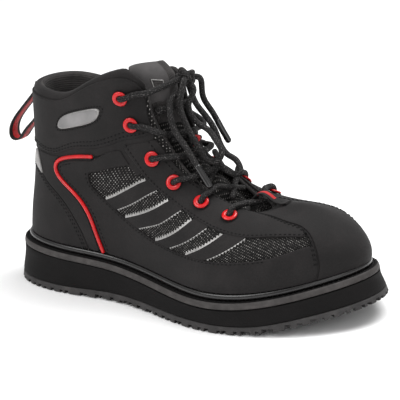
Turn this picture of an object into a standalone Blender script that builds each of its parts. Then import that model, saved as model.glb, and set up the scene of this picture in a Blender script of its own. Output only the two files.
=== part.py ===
"""A wading boot for the right foot, standing empty on its sole.

Metres, +X to the toe, +Z up, +Y to the inner (medial) side. The origin is on the floor under the
middle of the heel. Lengths in the tables are shares of LAST_LENGTH, widths of BALL_WIDTH and
heights of UPPER_HEIGHT, measured up from the ledge that the upper stands on.
"""

import math

import bmesh
import bpy
import numpy as np
from mathutils import Matrix, Vector

# Driving sizes
LAST_LENGTH = 0.286
BALL_WIDTH = 0.107
UPPER_HEIGHT = 0.145
HEEL_SHARE = 0.14
GAP = 0.0003

# Sole
TREAD_THICKNESS = 0.0052
LUG_HEIGHT = 0.0024
BAND_THICKNESS = 0.0050
BAND_MARGIN = 0.0038
BAND_LIP = 0.0004
HEEL_FLARE = 0.0085
TOE_FLARE = 0.0112
FLARE_START = 0.66
FLARE_END = 1.0

# Upper
UPPER_INSET = 0.0025
WALL_THICKNESS = 0.0026
COLLAR_THICKNESS = 0.0085

# Along the foot: length share, rise of the tread, height of the ledge above the floor
PROFILE = (
    (-0.05, 0.0000, 0.0333),
    (0.00, 0.0000, 0.0328),
    (0.11, 0.0000, 0.0313),
    (0.185, 0.0000, 0.0302),
    (0.30, 0.0008, 0.0284),
    (0.44, 0.0008, 0.0247),
    (0.56, 0.0000, 0.0217),
    (0.70, 0.0000, 0.0208),
    (0.82, 0.0018, 0.0243),
    (0.92, 0.0077, 0.0305),
    (1.00, 0.0128, 0.0363),
    (1.05, 0.0165, 0.0402),
)

# Rings of the last. A row for each station round the foot: heel back, heel corner, heel side, waist,
# instep, ball, toe side, toe corner, toe tip. Length, outer width, inner width, height.
FEATHER = (
    (0.000, 0.000, 0.000, 0.0),
    (0.021, 0.210, 0.210, 0.0),
    (0.133, 0.360, 0.350, 0.0),
    (0.343, 0.360, 0.300, 0.0),
    (0.524, 0.450, 0.360, 0.0),
    (0.682, 0.535, 0.470, 0.0),
    (0.839, 0.430, 0.460, 0.0),
    (0.944, 0.220, 0.340, 0.0),
    (1.000, -0.060, 0.060, 0.0),
)
WALL = (
    (0.018, 0.000, 0.000, 0.17),
    (0.040, 0.195, 0.195, 0.17),
    (0.135, 0.345, 0.340, 0.17),
    (0.343, 0.350, 0.300, 0.17),
    (0.524, 0.435, 0.360, 0.16),
    (0.682, 0.520, 0.465, 0.16),
    (0.838, 0.420, 0.450, 0.14),
    (0.938, 0.210, 0.325, 0.11),
    (0.993, -0.060, 0.060, 0.10),
)
CHEEK = (
    (0.033, 0.000, 0.000, 0.36),
    (0.055, 0.180, 0.180, 0.36),
    (0.140, 0.325, 0.315, 0.35),
    (0.335, 0.350, 0.305, 0.33),
    (0.515, 0.405, 0.350, 0.29),
    (0.665, 0.460, 0.410, 0.27),
    (0.815, 0.370, 0.370, 0.28),
    (0.897, 0.180, 0.255, 0.26),
    (0.940, -0.045, 0.045, 0.24),
)
RIDGE = (
    (0.041, 0.000, 0.000, 0.57),
    (0.064, 0.178, 0.178, 0.57),
    (0.148, 0.305, 0.290, 0.55),
    (0.330, 0.330, 0.295, 0.52),
    (0.490, 0.310, 0.260, 0.45),
    (0.630, 0.280, 0.245, 0.395),
    (0.755, 0.205, 0.200, 0.352),
    (0.815, 0.095, 0.120, 0.350),
    (0.845, -0.010, 0.010, 0.362),
)

# The opening's edge, once round: station, length, width (outer side negative), height.
EDGE = (
    (0.00, 0.042, 0.000, 0.80),
    (1.00, 0.068, -0.178, 0.80),
    (1.50, 0.126, -0.290, 0.80),
    (2.00, 0.198, -0.320, 0.805),
    (2.40, 0.301, -0.341, 0.910),
    (2.75, 0.399, -0.341, 0.992),
    (3.00, 0.441, -0.299, 0.98),
    (3.15, 0.456, -0.252, 0.93),
    (3.30, 0.460, -0.238, 0.85),
    (3.50, 0.472, -0.234, 0.765),
    (3.75, 0.500, -0.224, 0.675),
    (4.10, 0.535, -0.215, 0.575),
    (4.50, 0.574, -0.196, 0.500),
    (4.90, 0.614, -0.178, 0.450),
    (5.30, 0.650, -0.159, 0.408),
    (5.90, 0.694, -0.136, 0.362),
    (6.90, 0.727, -0.084, 0.338),
    (8.00, 0.750, 0.000, 0.348),
    (9.10, 0.727, 0.065, 0.372),
    (10.10, 0.685, 0.098, 0.400),
    (10.70, 0.647, 0.121, 0.435),
    (11.10, 0.605, 0.131, 0.485),
    (11.50, 0.563, 0.136, 0.520),
    (11.90, 0.528, 0.136, 0.555),
    (12.25, 0.505, 0.136, 0.630),
    (12.50, 0.486, 0.145, 0.730),
    (12.70, 0.474, 0.150, 0.830),
    (12.85, 0.463, 0.164, 0.895),
    (13.00, 0.441, 0.205, 0.925),
    (13.25, 0.399, 0.265, 0.915),
    (13.60, 0.301, 0.308, 0.836),
    (14.00, 0.199, 0.304, 0.786),
    (14.50, 0.119, 0.271, 0.799),
    (15.00, 0.067, 0.173, 0.805),
)
TURN = 16.0


def spline(knots, values, at, period=None):
    """Natural cubic spline through the values, or a closed one where a period is given."""
    knots = np.asarray(knots, float)
    values = np.asarray(values, float)
    at = np.asarray(at, float)
    if period:
        knots = np.append(knots, knots[0] + period)
        values = np.concatenate([values, values[:1]])
        at = (at - knots[0]) % period + knots[0]
    count = len(knots)
    step = np.diff(knots)
    wide = (slice(None),) + (None,) * (values.ndim - 1)
    slope = np.diff(values, axis=0) / step[wide]
    system = np.zeros((count, count))
    target = np.zeros(values.shape)
    for i in range(1, count - 1):
        system[i, i - 1 : i + 2] = step[i - 1], 2 * (step[i - 1] + step[i]), step[i]
        target[i] = 6 * (slope[i] - slope[i - 1])
    if period:
        system[0, [0, 1, count - 2]] = 2 * (step[-1] + step[0]), step[0], step[-1]
        target[0] = 6 * (slope[0] - slope[-1])
        system[-1, [0, -1]] = -1, 1
    else:
        system[0, 0] = system[-1, -1] = 1
    curve = np.linalg.solve(system, target.reshape(count, -1)).reshape(values.shape)
    low = np.clip(np.searchsorted(knots, at, side="right") - 1, 0, count - 2)
    wide = (slice(None),) * at.ndim + (None,) * (values.ndim - 1)
    b = ((at - knots[low]) / step[low])[wide]
    a = 1 - b
    bend = (a**3 - a) * curve[low] + (b**3 - b) * curve[low + 1]
    return a * values[low] + b * values[low + 1] + bend * (step[low][wide] ** 2) / 6


def length_at(share):
    return (np.asarray(share, float) - HEEL_SHARE) * LAST_LENGTH


def along(column, x):
    """A column of PROFILE at length x, held at its end values."""
    rows = np.array(PROFILE)
    ends = length_at(rows[[0, -1], 0])
    return spline(length_at(rows[:, 0]), rows[:, column], np.clip(x, *ends))


def tread_height(x):
    return np.maximum(along(1, x), 0.0)


def ledge_height(x):
    return along(2, x)


def once_round(rows):
    """Stations and points of a ring, from the heel back round the outer side and home."""
    rows = np.array(rows)
    outer = np.column_stack([length_at(rows[:, 0]), -rows[:, 1] * BALL_WIDTH, rows[:, 3]])
    inner = np.column_stack([length_at(rows[:, 0]), rows[:, 2] * BALL_WIDTH, rows[:, 3]])
    tip = (outer[-1:] + inner[-1:]) / 2
    points = np.concatenate([outer[:-1], tip, inner[1:-1][::-1]])
    return np.arange(len(points), dtype=float), points


def edge_round():
    rows = np.array(EDGE)
    points = np.column_stack([length_at(rows[:, 1]), rows[:, 2] * BALL_WIDTH, rows[:, 3]])
    return rows[:, 0], points


def run_of(station):
    """Distance round the feather outline at a station, so that all rings share its spacing."""
    stations, points = once_round(FEATHER)
    closed = np.concatenate([points, points[:1]])
    run = np.append(0, np.cumsum(np.linalg.norm(np.diff(closed[:, :2], axis=0), axis=1)))
    return np.interp(station, np.append(stations, TURN), run)


def ring_points(ring, station):
    stations, points = ring
    placed = spline(run_of(stations), points, run_of(np.mod(station, TURN)), run_of(TURN))
    placed[..., 2] = placed[..., 2] * UPPER_HEIGHT + ledge_height(placed[..., 0]) + GAP
    return placed


def outline(margin, station):
    """The feather outline at these stations, grown sideways by the margin."""
    step = 0.01
    ring = once_round(FEATHER)
    here = ring_points(ring, station)
    way = (ring_points(ring, station + step) - ring_points(ring, station - step))[..., :2]
    way = way / np.linalg.norm(way, axis=-1, keepdims=True)
    here[..., 0] += way[..., 1] * margin
    here[..., 1] -= way[..., 0] * margin
    return here


def surface(station, level):
    """The upper's outer face. Level 0 is at the feather, 4 at the opening's edge."""
    station, level = np.broadcast_arrays(np.asarray(station, float), np.asarray(level, float))
    rings = [outline(-UPPER_INSET, station)]
    rings += [ring_points(once_round(rows), station) for rows in (WALL, CHEEK, RIDGE)]
    rings.append(ring_points(edge_round(), station))
    rings = np.stack(rings)
    count = len(rings)
    system = np.eye(count)
    target = np.zeros(rings.shape)
    for i in range(1, count - 1):
        system[i, i - 1 : i + 2] = 1, 4, 1
        target[i] = 6 * (rings[i + 1] - 2 * rings[i] + rings[i - 1])
    curve = np.linalg.solve(system, target.reshape(count, -1)).reshape(rings.shape)
    low = np.clip(np.floor(level).astype(int), 0, count - 2)

    def pick(stack, row):
        return np.take_along_axis(stack, row[None, ..., None], axis=0)[0]

    b = (level - low)[..., None]
    a = 1 - b
    bend = (a**3 - a) * pick(curve, low) + (b**3 - b) * pick(curve, low + 1)
    return a * pick(rings, low) + b * pick(rings, low + 1) + bend / 6


def facing(station, level):
    """Unit normal of the upper's outer face, pointing out."""
    step = 0.02
    station, level = np.broadcast_arrays(np.asarray(station, float), np.asarray(level, float))
    round_foot = surface(station + step, level) - surface(station - step, level)
    high = np.minimum(level + step, 4)
    low = np.maximum(level - step, 0)
    normal = np.cross(round_foot, surface(station, high) - surface(station, low))
    return normal / np.linalg.norm(normal, axis=-1, keepdims=True)


# Panels: closed outlines of (station, level) on the outer side; the inner side mirrors them.
TOE_CAP_EDGE = (
    (6.84, 0.22),
    (6.92, 0.90),
    (6.96, 1.60),
    (6.97, 1.95),
    (6.90, 2.22),
    (6.68, 2.48),
    (6.42, 2.98),
    (6.24, 3.40),
    (6.20, 3.86),
)
COUNTER_EDGE = (
    (2.62, 0.22),
    (2.54, 0.75),
    (2.42, 1.25),
    (2.24, 1.68),
    (2.02, 1.95),
    (1.54, 2.25),
    (0.70, 2.40),
)
WINDOW_EDGE = (
    (6.50, 1.50),
    (5.94, 1.34),
    (5.30, 1.27),
    (4.70, 1.26),
    (4.20, 1.28),
    (3.75, 1.34),
    (3.30, 1.60),
    (2.98, 1.97),
    (2.80, 2.40),
    (2.78, 2.68),
)
EYESTAY_LOW = (
    (3.24, 3.33),
    (3.48, 3.26),
    (3.78, 3.08),
    (4.26, 2.82),
    (4.76, 2.58),
    (5.32, 2.30),
    (5.72, 2.12),
    (6.14, 2.03),
    (6.88, 1.86),
)
COLLAR_LOW = (
    (0.60, 2.62),
    (1.52, 2.78),
    (2.14, 2.82),
    (2.44, 3.03),
    (2.78, 3.12),
    (3.16, 3.36),
    (3.42, 3.62),
    (3.58, 3.88),
)
PIPING_PATH = (
    (2.80, 3.02),
    (2.66, 2.98),
    (2.44, 2.89),
    (2.28, 2.77),
    (2.19, 2.60),
    (2.20, 2.40),
    (2.30, 2.20),
    (2.44, 2.00),
    (2.59, 1.70),
    (2.70, 1.28),
    (2.78, 0.70),
    (2.84, 0.25),
)
# Side straps: the top corner under the eyestay and the bottom corner at the window's edge, rear line first
STRAPS = (
    ((3.78, 3.04), (2.99, 2.00), (4.00, 2.92), (3.16, 1.77)),
    ((4.26, 2.80), (3.30, 1.63), (4.52, 2.66), (3.54, 1.46)),
    ((4.76, 2.54), (3.88, 1.33), (5.04, 2.40), (4.20, 1.31)),
    ((5.32, 2.26), (4.58, 1.30), (5.70, 2.10), (5.00, 1.30)),
)
BADGE_CENTRE = (2.37, 3.53)
BADGE_LENGTH = 0.034
BADGE_HEIGHT = 0.0155
WEDGE = ((1.30, 2.33), (1.46, 2.30), (1.80, 2.16), (1.66, 2.42), (1.50, 2.68), (1.40, 2.72))
OVERLAY = 0.0012
SEAM = 0.0011
PIPING_RADIUS = 0.0014

# Eyelets from the top down: station, level, and the stations where the opening's edge is passed by
# the strand that lies over the flap and by the one that comes from under it
EYELETS_OUTER = (
    (2.92, 3.78, 3.18, 3.36),
    (3.20, 3.62, 3.62, 3.42),
    (3.74, 3.55, 3.97, 3.78),
    (4.26, 3.38, 4.44, 4.24),
    (4.88, 3.07, 4.98, 4.78),
    (5.44, 2.84, 5.80, 5.50),
)
EYELETS_INNER = (
    (13.08, 3.72, 12.84, 12.66),
    (12.80, 3.56, 12.40, 12.60),
    (12.28, 3.50, 12.04, 12.24),
    (11.74, 3.40, 11.58, 11.78),
    (11.12, 3.14, 11.02, 11.24),
    (10.56, 2.90, 10.24, 10.50),
)
EYELET_RADIUS = 0.0056
EYELET_HOLE = 0.0023
EYELET_HEIGHT = 0.0024

# Inside
FOOTBED_THICKNESS = 0.0040
FOOTBED_MARGIN = 0.0008
TONGUE_THICKNESS = 0.0042
TONGUE_CLEARANCE = 0.0012

# Mesh density: columns from each station to the next, outer side; level lines of the two faces
COLUMNS = (3, 3, 4, 5, 3, 3, 3, 3)
OUTER_LINES = np.linspace(0, 4, 11)
INNER_LINES = np.array([4.0, 3.6, 3.2, 2.4, 1.6, 0.8, 0.0])


def stations_round():
    outer = [i + j / n for i, n in enumerate(COLUMNS) for j in range(n)]
    inner = [TURN - s for s in reversed(outer) if s > 0]
    return np.array(outer + [TURN / 2] + inner)


def thickness(station, level):
    """Wall thickness: one layer, thickening into the padded collar round the ankle."""
    station = np.mod(station, TURN)
    round_back = np.minimum(station, TURN - station)
    across = np.clip((3.05 - round_back) / 0.35, 0, 1)
    up = np.clip((level - 3.0) / 0.6, 0, 1)
    pad = (across * across * (3 - 2 * across)) * (up * up * (3 - 2 * up))
    return WALL_THICKNESS + (COLLAR_THICKNESS - WALL_THICKNESS) * pad


def offset(station, level, distance):
    return surface(station, level) + facing(station, level) * np.asarray(distance)[..., None]


PART = bpy.data.collections.new("wading_boot")
CUTTERS = bpy.data.collections.new("cutters")


def start_clean():
    for thing in list(bpy.data.objects):
        bpy.data.objects.remove(thing, do_unlink=True)
    for home in (PART, CUTTERS):
        bpy.context.scene.collection.children.link(home)


def material(name, colour, roughness, metallic=0.0):
    look = bpy.data.materials.get(name) or bpy.data.materials.new(name)
    look.use_nodes = True
    shader = look.node_tree.nodes["Principled BSDF"]
    shader.inputs["Base Color"].default_value = (*colour, 1)
    shader.inputs["Roughness"].default_value = roughness
    shader.inputs["Metallic"].default_value = metallic
    return look


def nubuck():
    return material("nubuck", (0.024, 0.022, 0.022), 0.85)


def mesh_cloth():
    return material("mesh_cloth", (0.012, 0.012, 0.012), 0.9)


def foam():
    return material("foam", (0.010, 0.009, 0.009), 0.8)


def grey_rubber():
    return material("grey_rubber", (0.045, 0.042, 0.042), 0.7)


def bead_rubber():
    return material("bead_rubber", (0.02, 0.02, 0.02), 0.3)


def red_gloss():
    return material("red_gloss", (0.75, 0.016, 0.022), 0.2)


def webbing():
    return material("webbing", (0.02, 0.018, 0.018), 0.8)


def lace_cord():
    return material("lace_cord", (0.018, 0.017, 0.017), 0.8)


def silver():
    return material("silver", (0.42, 0.42, 0.42), 0.35)


def lining():
    return material("lining", (0.014, 0.014, 0.014), 0.95)


def add_mesh(name, points, faces, look, home=PART):
    """A mesh object whose faces are turned to point out."""
    mesh = bpy.data.meshes.new(name)
    mesh.from_pydata([tuple(map(float, p)) for p in points], [], [tuple(map(int, f)) for f in faces])
    shape = bmesh.new()
    shape.from_mesh(mesh)
    bmesh.ops.remove_doubles(shape, verts=shape.verts, dist=1e-6)
    bmesh.ops.recalc_face_normals(shape, faces=shape.faces)
    shape.to_mesh(mesh)
    shape.free()
    mesh.materials.append(look)
    mesh.shade_smooth()
    mesh.set_sharp_from_angle(angle=math.radians(40))
    thing = bpy.data.objects.new(name, mesh)
    home.objects.link(thing)
    return thing


def stacked(name, loops, look, home=PART):
    """A plate: outlines laid on each other, closed below and above by strips across the foot."""
    count = len(loops[0])
    points = np.concatenate(loops)
    faces = []
    for level in range(len(loops) - 1):
        base = level * count
        for i in range(count):
            j = (i + 1) % count
            faces.append((base + i, base + j, base + count + j, base + count + i))
    for base, turned in ((0, True), (len(points) - count, False)):
        for i in range(count // 2):
            across = [i, i + 1, (count - i - 1) % count, (count - i) % count]
            strip = list(dict.fromkeys(base + k for k in across))
            faces.append(tuple(strip if turned else reversed(strip)))
    return add_mesh(name, points, faces, look, home)


def turned_round(name, sections, look):
    """A closed ring: one closed section for each column round the foot."""
    rounds, count = sections.shape[:2]
    faces = []
    for i in range(rounds):
        for j in range(count):
            k = (i + 1) % rounds
            m = (j + 1) % count
            faces.append((i * count + j, k * count + j, k * count + m))
            faces.append((i * count + j, k * count + m, i * count + m))
    return add_mesh(name, sections.reshape(-1, 3), faces, look)


def tube(name, points, radius, look, bevel=1, home=PART):
    """A round cord along points: a poly curve with filled caps, made a welded mesh."""
    curve = bpy.data.curves.new(name, "CURVE")
    curve.dimensions = "3D"
    curve.bevel_depth = radius
    curve.bevel_resolution = bevel
    curve.use_fill_caps = True
    run = curve.splines.new("POLY")
    run.points.add(len(points) - 1)
    for spot, place in zip(run.points, points):
        spot.co = (*map(float, place), 1)
    thing = bpy.data.objects.new(name, curve)
    home.objects.link(thing)
    bpy.context.view_layer.update()
    solid = bpy.data.meshes.new_from_object(thing.evaluated_get(bpy.context.evaluated_depsgraph_get()))
    shape = bmesh.new()
    shape.from_mesh(solid)
    bmesh.ops.remove_doubles(shape, verts=shape.verts, dist=1e-6)
    bmesh.ops.recalc_face_normals(shape, faces=shape.faces)
    shape.to_mesh(solid)
    shape.free()
    solid.materials.clear()
    solid.materials.append(look)
    solid.shade_smooth()
    made = bpy.data.objects.new(name, solid)
    made.matrix_world = thing.matrix_world
    bpy.data.objects.remove(thing, do_unlink=True)
    made.name = name
    home.objects.link(made)
    return made


def boolean(thing, tool, operation):
    change = thing.modifiers.new(tool.name, "BOOLEAN")
    change.solver = "EXACT"
    change.operation = operation
    change.object = tool
    tool.hide_render = True
    tool.display_type = "WIRE"


# Sole


def flare(x):
    share = x / LAST_LENGTH + HEEL_SHARE
    grown = np.clip((share - FLARE_START) / (FLARE_END - FLARE_START), 0, 1) ** 1.5
    return HEEL_FLARE + (TOE_FLARE - HEEL_FLARE) * grown


def side_loop(height, lip=0.0):
    """The sole's side at a height given as a function of x, on the slanted side wall."""
    stations = stations_round()
    x = outline(0, stations)[:, 0]
    share = (height(x) - tread_height(x)) / (ledge_height(x) - tread_height(x))
    loop = outline(BAND_MARGIN + (flare(x) - BAND_MARGIN) * (1 - share) + lip, stations)
    loop[:, 2] = height(loop[:, 0])
    return loop


def tread_top(x):
    return tread_height(x) + TREAD_THICKNESS


def band_bottom(x):
    return ledge_height(x) - BAND_THICKNESS


LUG_PITCH = 0.0140
GROOVE_WIDTH = 0.0036
CHEVRON = 0.004
LANES = (-0.0170, 0.0170)
GROOVE_REACH = 0.075


def groove_bars():
    """Cutters for the tread: V-shaped grooves across, and lanes along the foot."""
    half = GROOVE_WIDTH / 2
    under = -0.004
    first = length_at(PROFILE[0][0]) - LUG_PITCH
    count = int(1.16 * LAST_LENGTH / LUG_PITCH)
    start = LUG_PITCH / 2 - math.ceil(-first / LUG_PITCH) * LUG_PITCH
    points, faces = [], []
    for k in range(count):
        middle = start + k * LUG_PITCH
        for y, shift in ((-GROOVE_REACH, -CHEVRON), (0.0, 0.0), (GROOVE_REACH, -CHEVRON)):
            x = middle + shift
            roof = float(tread_height(middle)) + LUG_HEIGHT
            for side, z in ((-half, under), (half, under), (half, roof), (-half, roof)):
                points.append((x + side, y, z))
        base = k * 12
        for ring in (0, 4):
            for i in range(4):
                j = (i + 1) % 4
                low = base + ring
                faces.append((low + i, low + j, low + 4 + j, low + 4 + i))
        faces.append((base, base + 1, base + 2, base + 3))
        faces.append((base + 8, base + 9, base + 10, base + 11))
    across = add_mesh("grooves_across", points, faces, grey_rubber(), CUTTERS)
    points, faces = [], []
    steps = np.linspace(first, length_at(1.1), 11)
    for k, y in enumerate(LANES):
        base = len(points)
        for x in steps:
            roof = float(tread_height(x)) + LUG_HEIGHT
            for side, z in ((-half, under), (half, under), (half, roof), (-half, roof)):
                points.append((x, y + side, z))
        for i in range(len(steps) - 1):
            for j in range(4):
                low = base + 4 * i
                m = (j + 1) % 4
                faces.append((low + j, low + m, low + 4 + m, low + 4 + j))
        last = len(points) - 4
        faces.append((base, base + 1, base + 2, base + 3))
        faces.append((last, last + 1, last + 2, last + 3))
    along_foot = add_mesh("grooves_along", points, faces, grey_rubber(), CUTTERS)
    return across, along_foot


def outsole():
    sole = stacked("outsole", [side_loop(tread_height), side_loop(tread_top)], grey_rubber())
    for cutter in groove_bars():
        boolean(sole, cutter, "DIFFERENCE")
    return sole


def midsole():
    low = side_loop(lambda x: tread_top(x) + GAP)
    high = side_loop(lambda x: band_bottom(x) - GAP)
    return stacked("midsole", [low, high], foam())


def band():
    low = side_loop(band_bottom, BAND_LIP)
    high = side_loop(ledge_height, 0.0)
    return stacked("band", [low, high], grey_rubber())


# Bead: distance out from the upper and height above the ledge, as shares of its width and height
BEAD_WIDTH = 0.0029
BEAD_HEIGHT = 0.0046
HEM_GAP = 0.0007
BEAD_SECTION = ((0.80, 0.00), (1.00, 0.35), (0.90, 0.72), (0.55, 0.97))


def hem_level(station, height):
    """The level at which the upper's face is this high above the ledge, near its foot."""
    station = np.asarray(station, float)
    probe = surface(station, 0.25)
    rise = probe[..., 2] - ledge_height(probe[..., 0])
    return 0.25 * height / rise


def hem(first, last, steps=0):
    """A panel's lower edge, just above the bead, from one station to another."""
    steps = steps or max(2, int(abs(last - first) / 0.45) + 1)
    stations = np.linspace(first, last, steps)
    return list(zip(stations, hem_level(stations, BEAD_HEIGHT + HEM_GAP)))


def welt_bead():
    stations = stations_round()
    foot = offset(stations, 0.0, np.full(len(stations), GAP))
    foot[:, 2] = ledge_height(foot[:, 0]) + GAP
    rows = [foot]
    for out, up in BEAD_SECTION:
        row = outline(-UPPER_INSET + out * BEAD_WIDTH, stations)
        row[:, 2] = ledge_height(row[:, 0]) + GAP + up * BEAD_HEIGHT
        rows.append(row)
    top = hem_level(stations, 0.97 * BEAD_HEIGHT)
    rows.append(np.array([on_form(s, t, GAP) for s, t in zip(stations, top)]))
    return turned_round("welt_bead", np.stack(rows, axis=1), bead_rubber())


# Upper


def upper():
    stations = stations_round()
    rows = [surface(stations, level) for level in OUTER_LINES]
    rim = surface(stations, 4.0)
    depth = thickness(stations, 4.0)
    inner_rim = offset(stations, 4.0, -depth)
    rise = rim - surface(stations, 3.9)
    rise = rise / np.linalg.norm(rise, axis=1, keepdims=True) * (depth / 2)[:, None]
    for turn in (math.radians(50), math.radians(130)):
        roll = (rim + inner_rim) / 2 + (rim - inner_rim) / 2 * math.cos(turn) + rise * math.sin(turn)
        rows.append(roll)
    for level in INNER_LINES:
        rows.append(offset(stations, level, -thickness(stations, level)))
    rows[-1][:, 2] = ledge_height(rows[-1][:, 0]) + GAP
    return turned_round("upper", np.stack(rows, axis=1), mesh_cloth())


def footbed():
    inset = -(UPPER_INSET + WALL_THICKNESS + FOOTBED_MARGIN)
    low = outline(inset, stations_round())
    high = low.copy()
    low[:, 2] = ledge_height(low[:, 0]) + GAP
    high[:, 2] = low[:, 2] + FOOTBED_THICKNESS
    return stacked("footbed", [low, high], lining())


def form_grid():
    """The upper's own mesh corners and their normals, worked out once: lines up, columns round."""
    columns = np.append(stations_round(), TURN)
    corners = surface(columns[None, :], OUTER_LINES[:, None])
    return columns, corners, facing(columns[None, :], OUTER_LINES[:, None])


COLUMN_AT, CORNERS, NORMALS = form_grid()


def cell_of(station, level):
    local = station - math.floor(station / TURN) * TURN
    i = min(int(np.searchsorted(COLUMN_AT, local + 1e-9, side="right") - 1), len(COLUMN_AT) - 2)
    j = min(int(np.searchsorted(OUTER_LINES, level + 1e-9, side="right") - 1), len(OUTER_LINES) - 2)
    across = (local - COLUMN_AT[i]) / (COLUMN_AT[i + 1] - COLUMN_AT[i])
    up = (level - OUTER_LINES[j]) / (OUTER_LINES[j + 1] - OUTER_LINES[j])
    return i, j, across, up


def on_form(station, level, distance):
    """A point on the upper's triangles, moved out, so that what lies on them keeps an even gap."""
    i, j, across, up = cell_of(station, level)
    moved = CORNERS[j : j + 2, i : i + 2] + NORMALS[j : j + 2, i : i + 2] * distance
    third = moved[0, 1] if across >= up else moved[1, 0]
    low, high = min(across, up), max(across, up)
    return moved[0, 0] * (1 - high) + third * (high - low) + moved[1, 1] * low


def panel(name, edge, look, low=GAP, high=GAP + OVERLAY):
    """A panel cut from the layer between two offsets of the upper, along its mesh lines."""
    flat = bmesh.new()
    flat.faces.new([flat.verts.new((s, t, 0)) for s, t in edge])
    first = min(s for s, _ in edge)
    last = max(s for s, _ in edge)
    columns = stations_round()
    lines = np.concatenate([columns - TURN, columns, columns + TURN])
    cuts = [((s, 0, 0), (1, 0, 0)) for s in lines if first < s < last]
    cuts += [((0, t, 0), (0, 1, 0)) for t in OUTER_LINES]
    for spot, way in cuts:
        parts = flat.verts[:] + flat.edges[:] + flat.faces[:]
        bmesh.ops.bisect_plane(flat, geom=parts, dist=1e-5, plane_co=spot, plane_no=way)
    for face in flat.faces[:]:
        middle = face.calc_center_median()
        i, j, _, _ = cell_of(middle.x, middle.y)
        turn = math.floor(middle.x / TURN) * TURN
        wide = COLUMN_AT[i + 1] - COLUMN_AT[i]
        tall = OUTER_LINES[j + 1] - OUTER_LINES[j]
        spot = (COLUMN_AT[i] + turn, OUTER_LINES[j], 0)
        parts = list(face.verts) + list(face.edges) + [face]
        bmesh.ops.bisect_plane(flat, geom=parts, dist=1e-5, plane_co=spot, plane_no=(tall, -wide, 0))
    flat.verts.index_update()
    places = [tuple(v.co[:2]) for v in flat.verts]
    count = len(places)
    points = [on_form(s, t, d) for d in (low, high) for s, t in places]
    faces = []
    for face in flat.faces:
        loop = [v.index for v in face.verts]
        faces.append(tuple(reversed(loop)))
        faces.append(tuple(k + count for k in loop))
    for edge_line in flat.edges:
        if edge_line.is_boundary:
            a, b = (v.index for v in edge_line.verts)
            faces.append((a, b, b + count, a + count))
    flat.free()
    return add_mesh(name, points, faces, look)


def rounded(edge, share=0.5, steps=3):
    """Smooths a run of outline points with extra points on a spline through them."""
    edge = np.array(edge)
    knots = np.append(0, np.cumsum(np.linalg.norm(np.diff(edge, axis=0), axis=1)))
    at = np.concatenate([np.linspace(a, b, steps, endpoint=False) for a, b in zip(knots, knots[1:])])
    return [tuple(p) for p in spline(knots, edge, np.append(at, knots[-1]))]


def beside(edge, distance):
    """The run moved sideways over the form by a distance in metres, to the right of its way."""
    scale = np.array([0.058, 0.034])
    edge = np.array(edge) * scale
    way = np.gradient(edge, axis=0)
    way /= np.linalg.norm(way, axis=1, keepdims=True)
    moved = edge + np.column_stack([way[:, 1], -way[:, 0]]) * distance
    return [tuple(p) for p in moved / scale]


def shifted(edge, station=0.0, level=0.0):
    return [(s + station, t + level) for s, t in edge]


def mirrored(edge):
    return [(TURN - s, t) for s, t in edge]


def both_sides(name, edge, look, **extra):
    panel(name + "_outer", edge, look, **extra)
    panel(name + "_inner", mirrored(edge), look, **extra)


# Clearances between neighbouring panels, in stations and levels
SEAM_S = 0.018
SEAM_T = 0.02


def toe_cap():
    edge = shifted(rounded(TOE_CAP_EDGE, steps=2)[1:], SEAM_S)
    low = hem(TURN - TOE_CAP_EDGE[0][0] - SEAM_S, TOE_CAP_EDGE[0][0] + SEAM_S)
    return panel("toe_cap", edge + mirrored(edge)[::-1] + low, nubuck())


def counter():
    edge = rounded(COUNTER_EDGE, steps=2)[1:]
    opposite = [(-s, t) for s, t in edge]
    low = hem(-COUNTER_EDGE[0][0], COUNTER_EDGE[0][0])
    return panel("counter", edge + opposite[::-1] + low, nubuck())


def back_stay():
    edge = [(-0.52, 2.46), (0.52, 2.46), (0.52, 3.90), (-0.52, 3.90)]
    return panel("back_stay", edge, nubuck())


def collar_panels():
    low = shifted(rounded(COLLAR_LOW, steps=2), 0.0, SEAM_T)
    high = [(3.30, 3.90), (3.05, 3.90), (0.60, 3.90)]
    both_sides("collar_panel", low + high, nubuck())


def quarters():
    """The lower side panel: up beside the piping, round the mesh window and along to the toe cap."""
    front = shifted(TOE_CAP_EDGE[1:3], -SEAM_S)
    window = rounded(WINDOW_EDGE, steps=2)
    top = [(3.46, 3.16), (3.22, 3.28), (3.02, 3.16)]
    rear = beside(PIPING_PATH, -PIPING_SEAM)[:-1]
    edge = front + window + top + rear + hem(PIPING_PATH[-1][0] + 0.06, TOE_CAP_EDGE[0][0] - SEAM_S)
    both_sides("quarter", edge, nubuck())


PIPING_SEAM = 0.0026
PANEL_SEAM = 0.0008


def heel_wings():
    """The strip between the counter and the piping."""
    rear = beside(rounded(COUNTER_EDGE, steps=2)[:11], PANEL_SEAM)[1:]
    front = beside(PIPING_PATH, PIPING_SEAM)[3:-1]
    top = [(1.60, 2.72), (2.06, 2.76)]
    low = hem(PIPING_PATH[-1][0] - 0.06, COUNTER_EDGE[0][0] + 0.03)
    both_sides("heel_wing", rear + top + front + low, nubuck())


def eyestays():
    low = shifted(rounded(EYESTAY_LOW, steps=2), 0.0, 0.0)
    front = [(6.90, 2.16), (6.64, 2.44), (6.38, 2.94), (6.19, 3.38), (6.14, 3.86)]
    top = [(5.6, 3.88), (5.0, 3.88), (4.4, 3.88), (3.95, 3.88), (3.64, 3.86)]
    rear = [(3.48, 3.60), (3.30, 3.42)]
    both_sides("eyestay", low + front + top + rear, nubuck())


def straps():
    for k, (rear_top, rear_low, front_top, front_low) in enumerate(STRAPS, 1):
        edge = [rear_low, front_low, front_top, rear_top]
        both_sides(f"strap_{k}", shifted(edge, 0.0, 0.0), nubuck())


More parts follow.
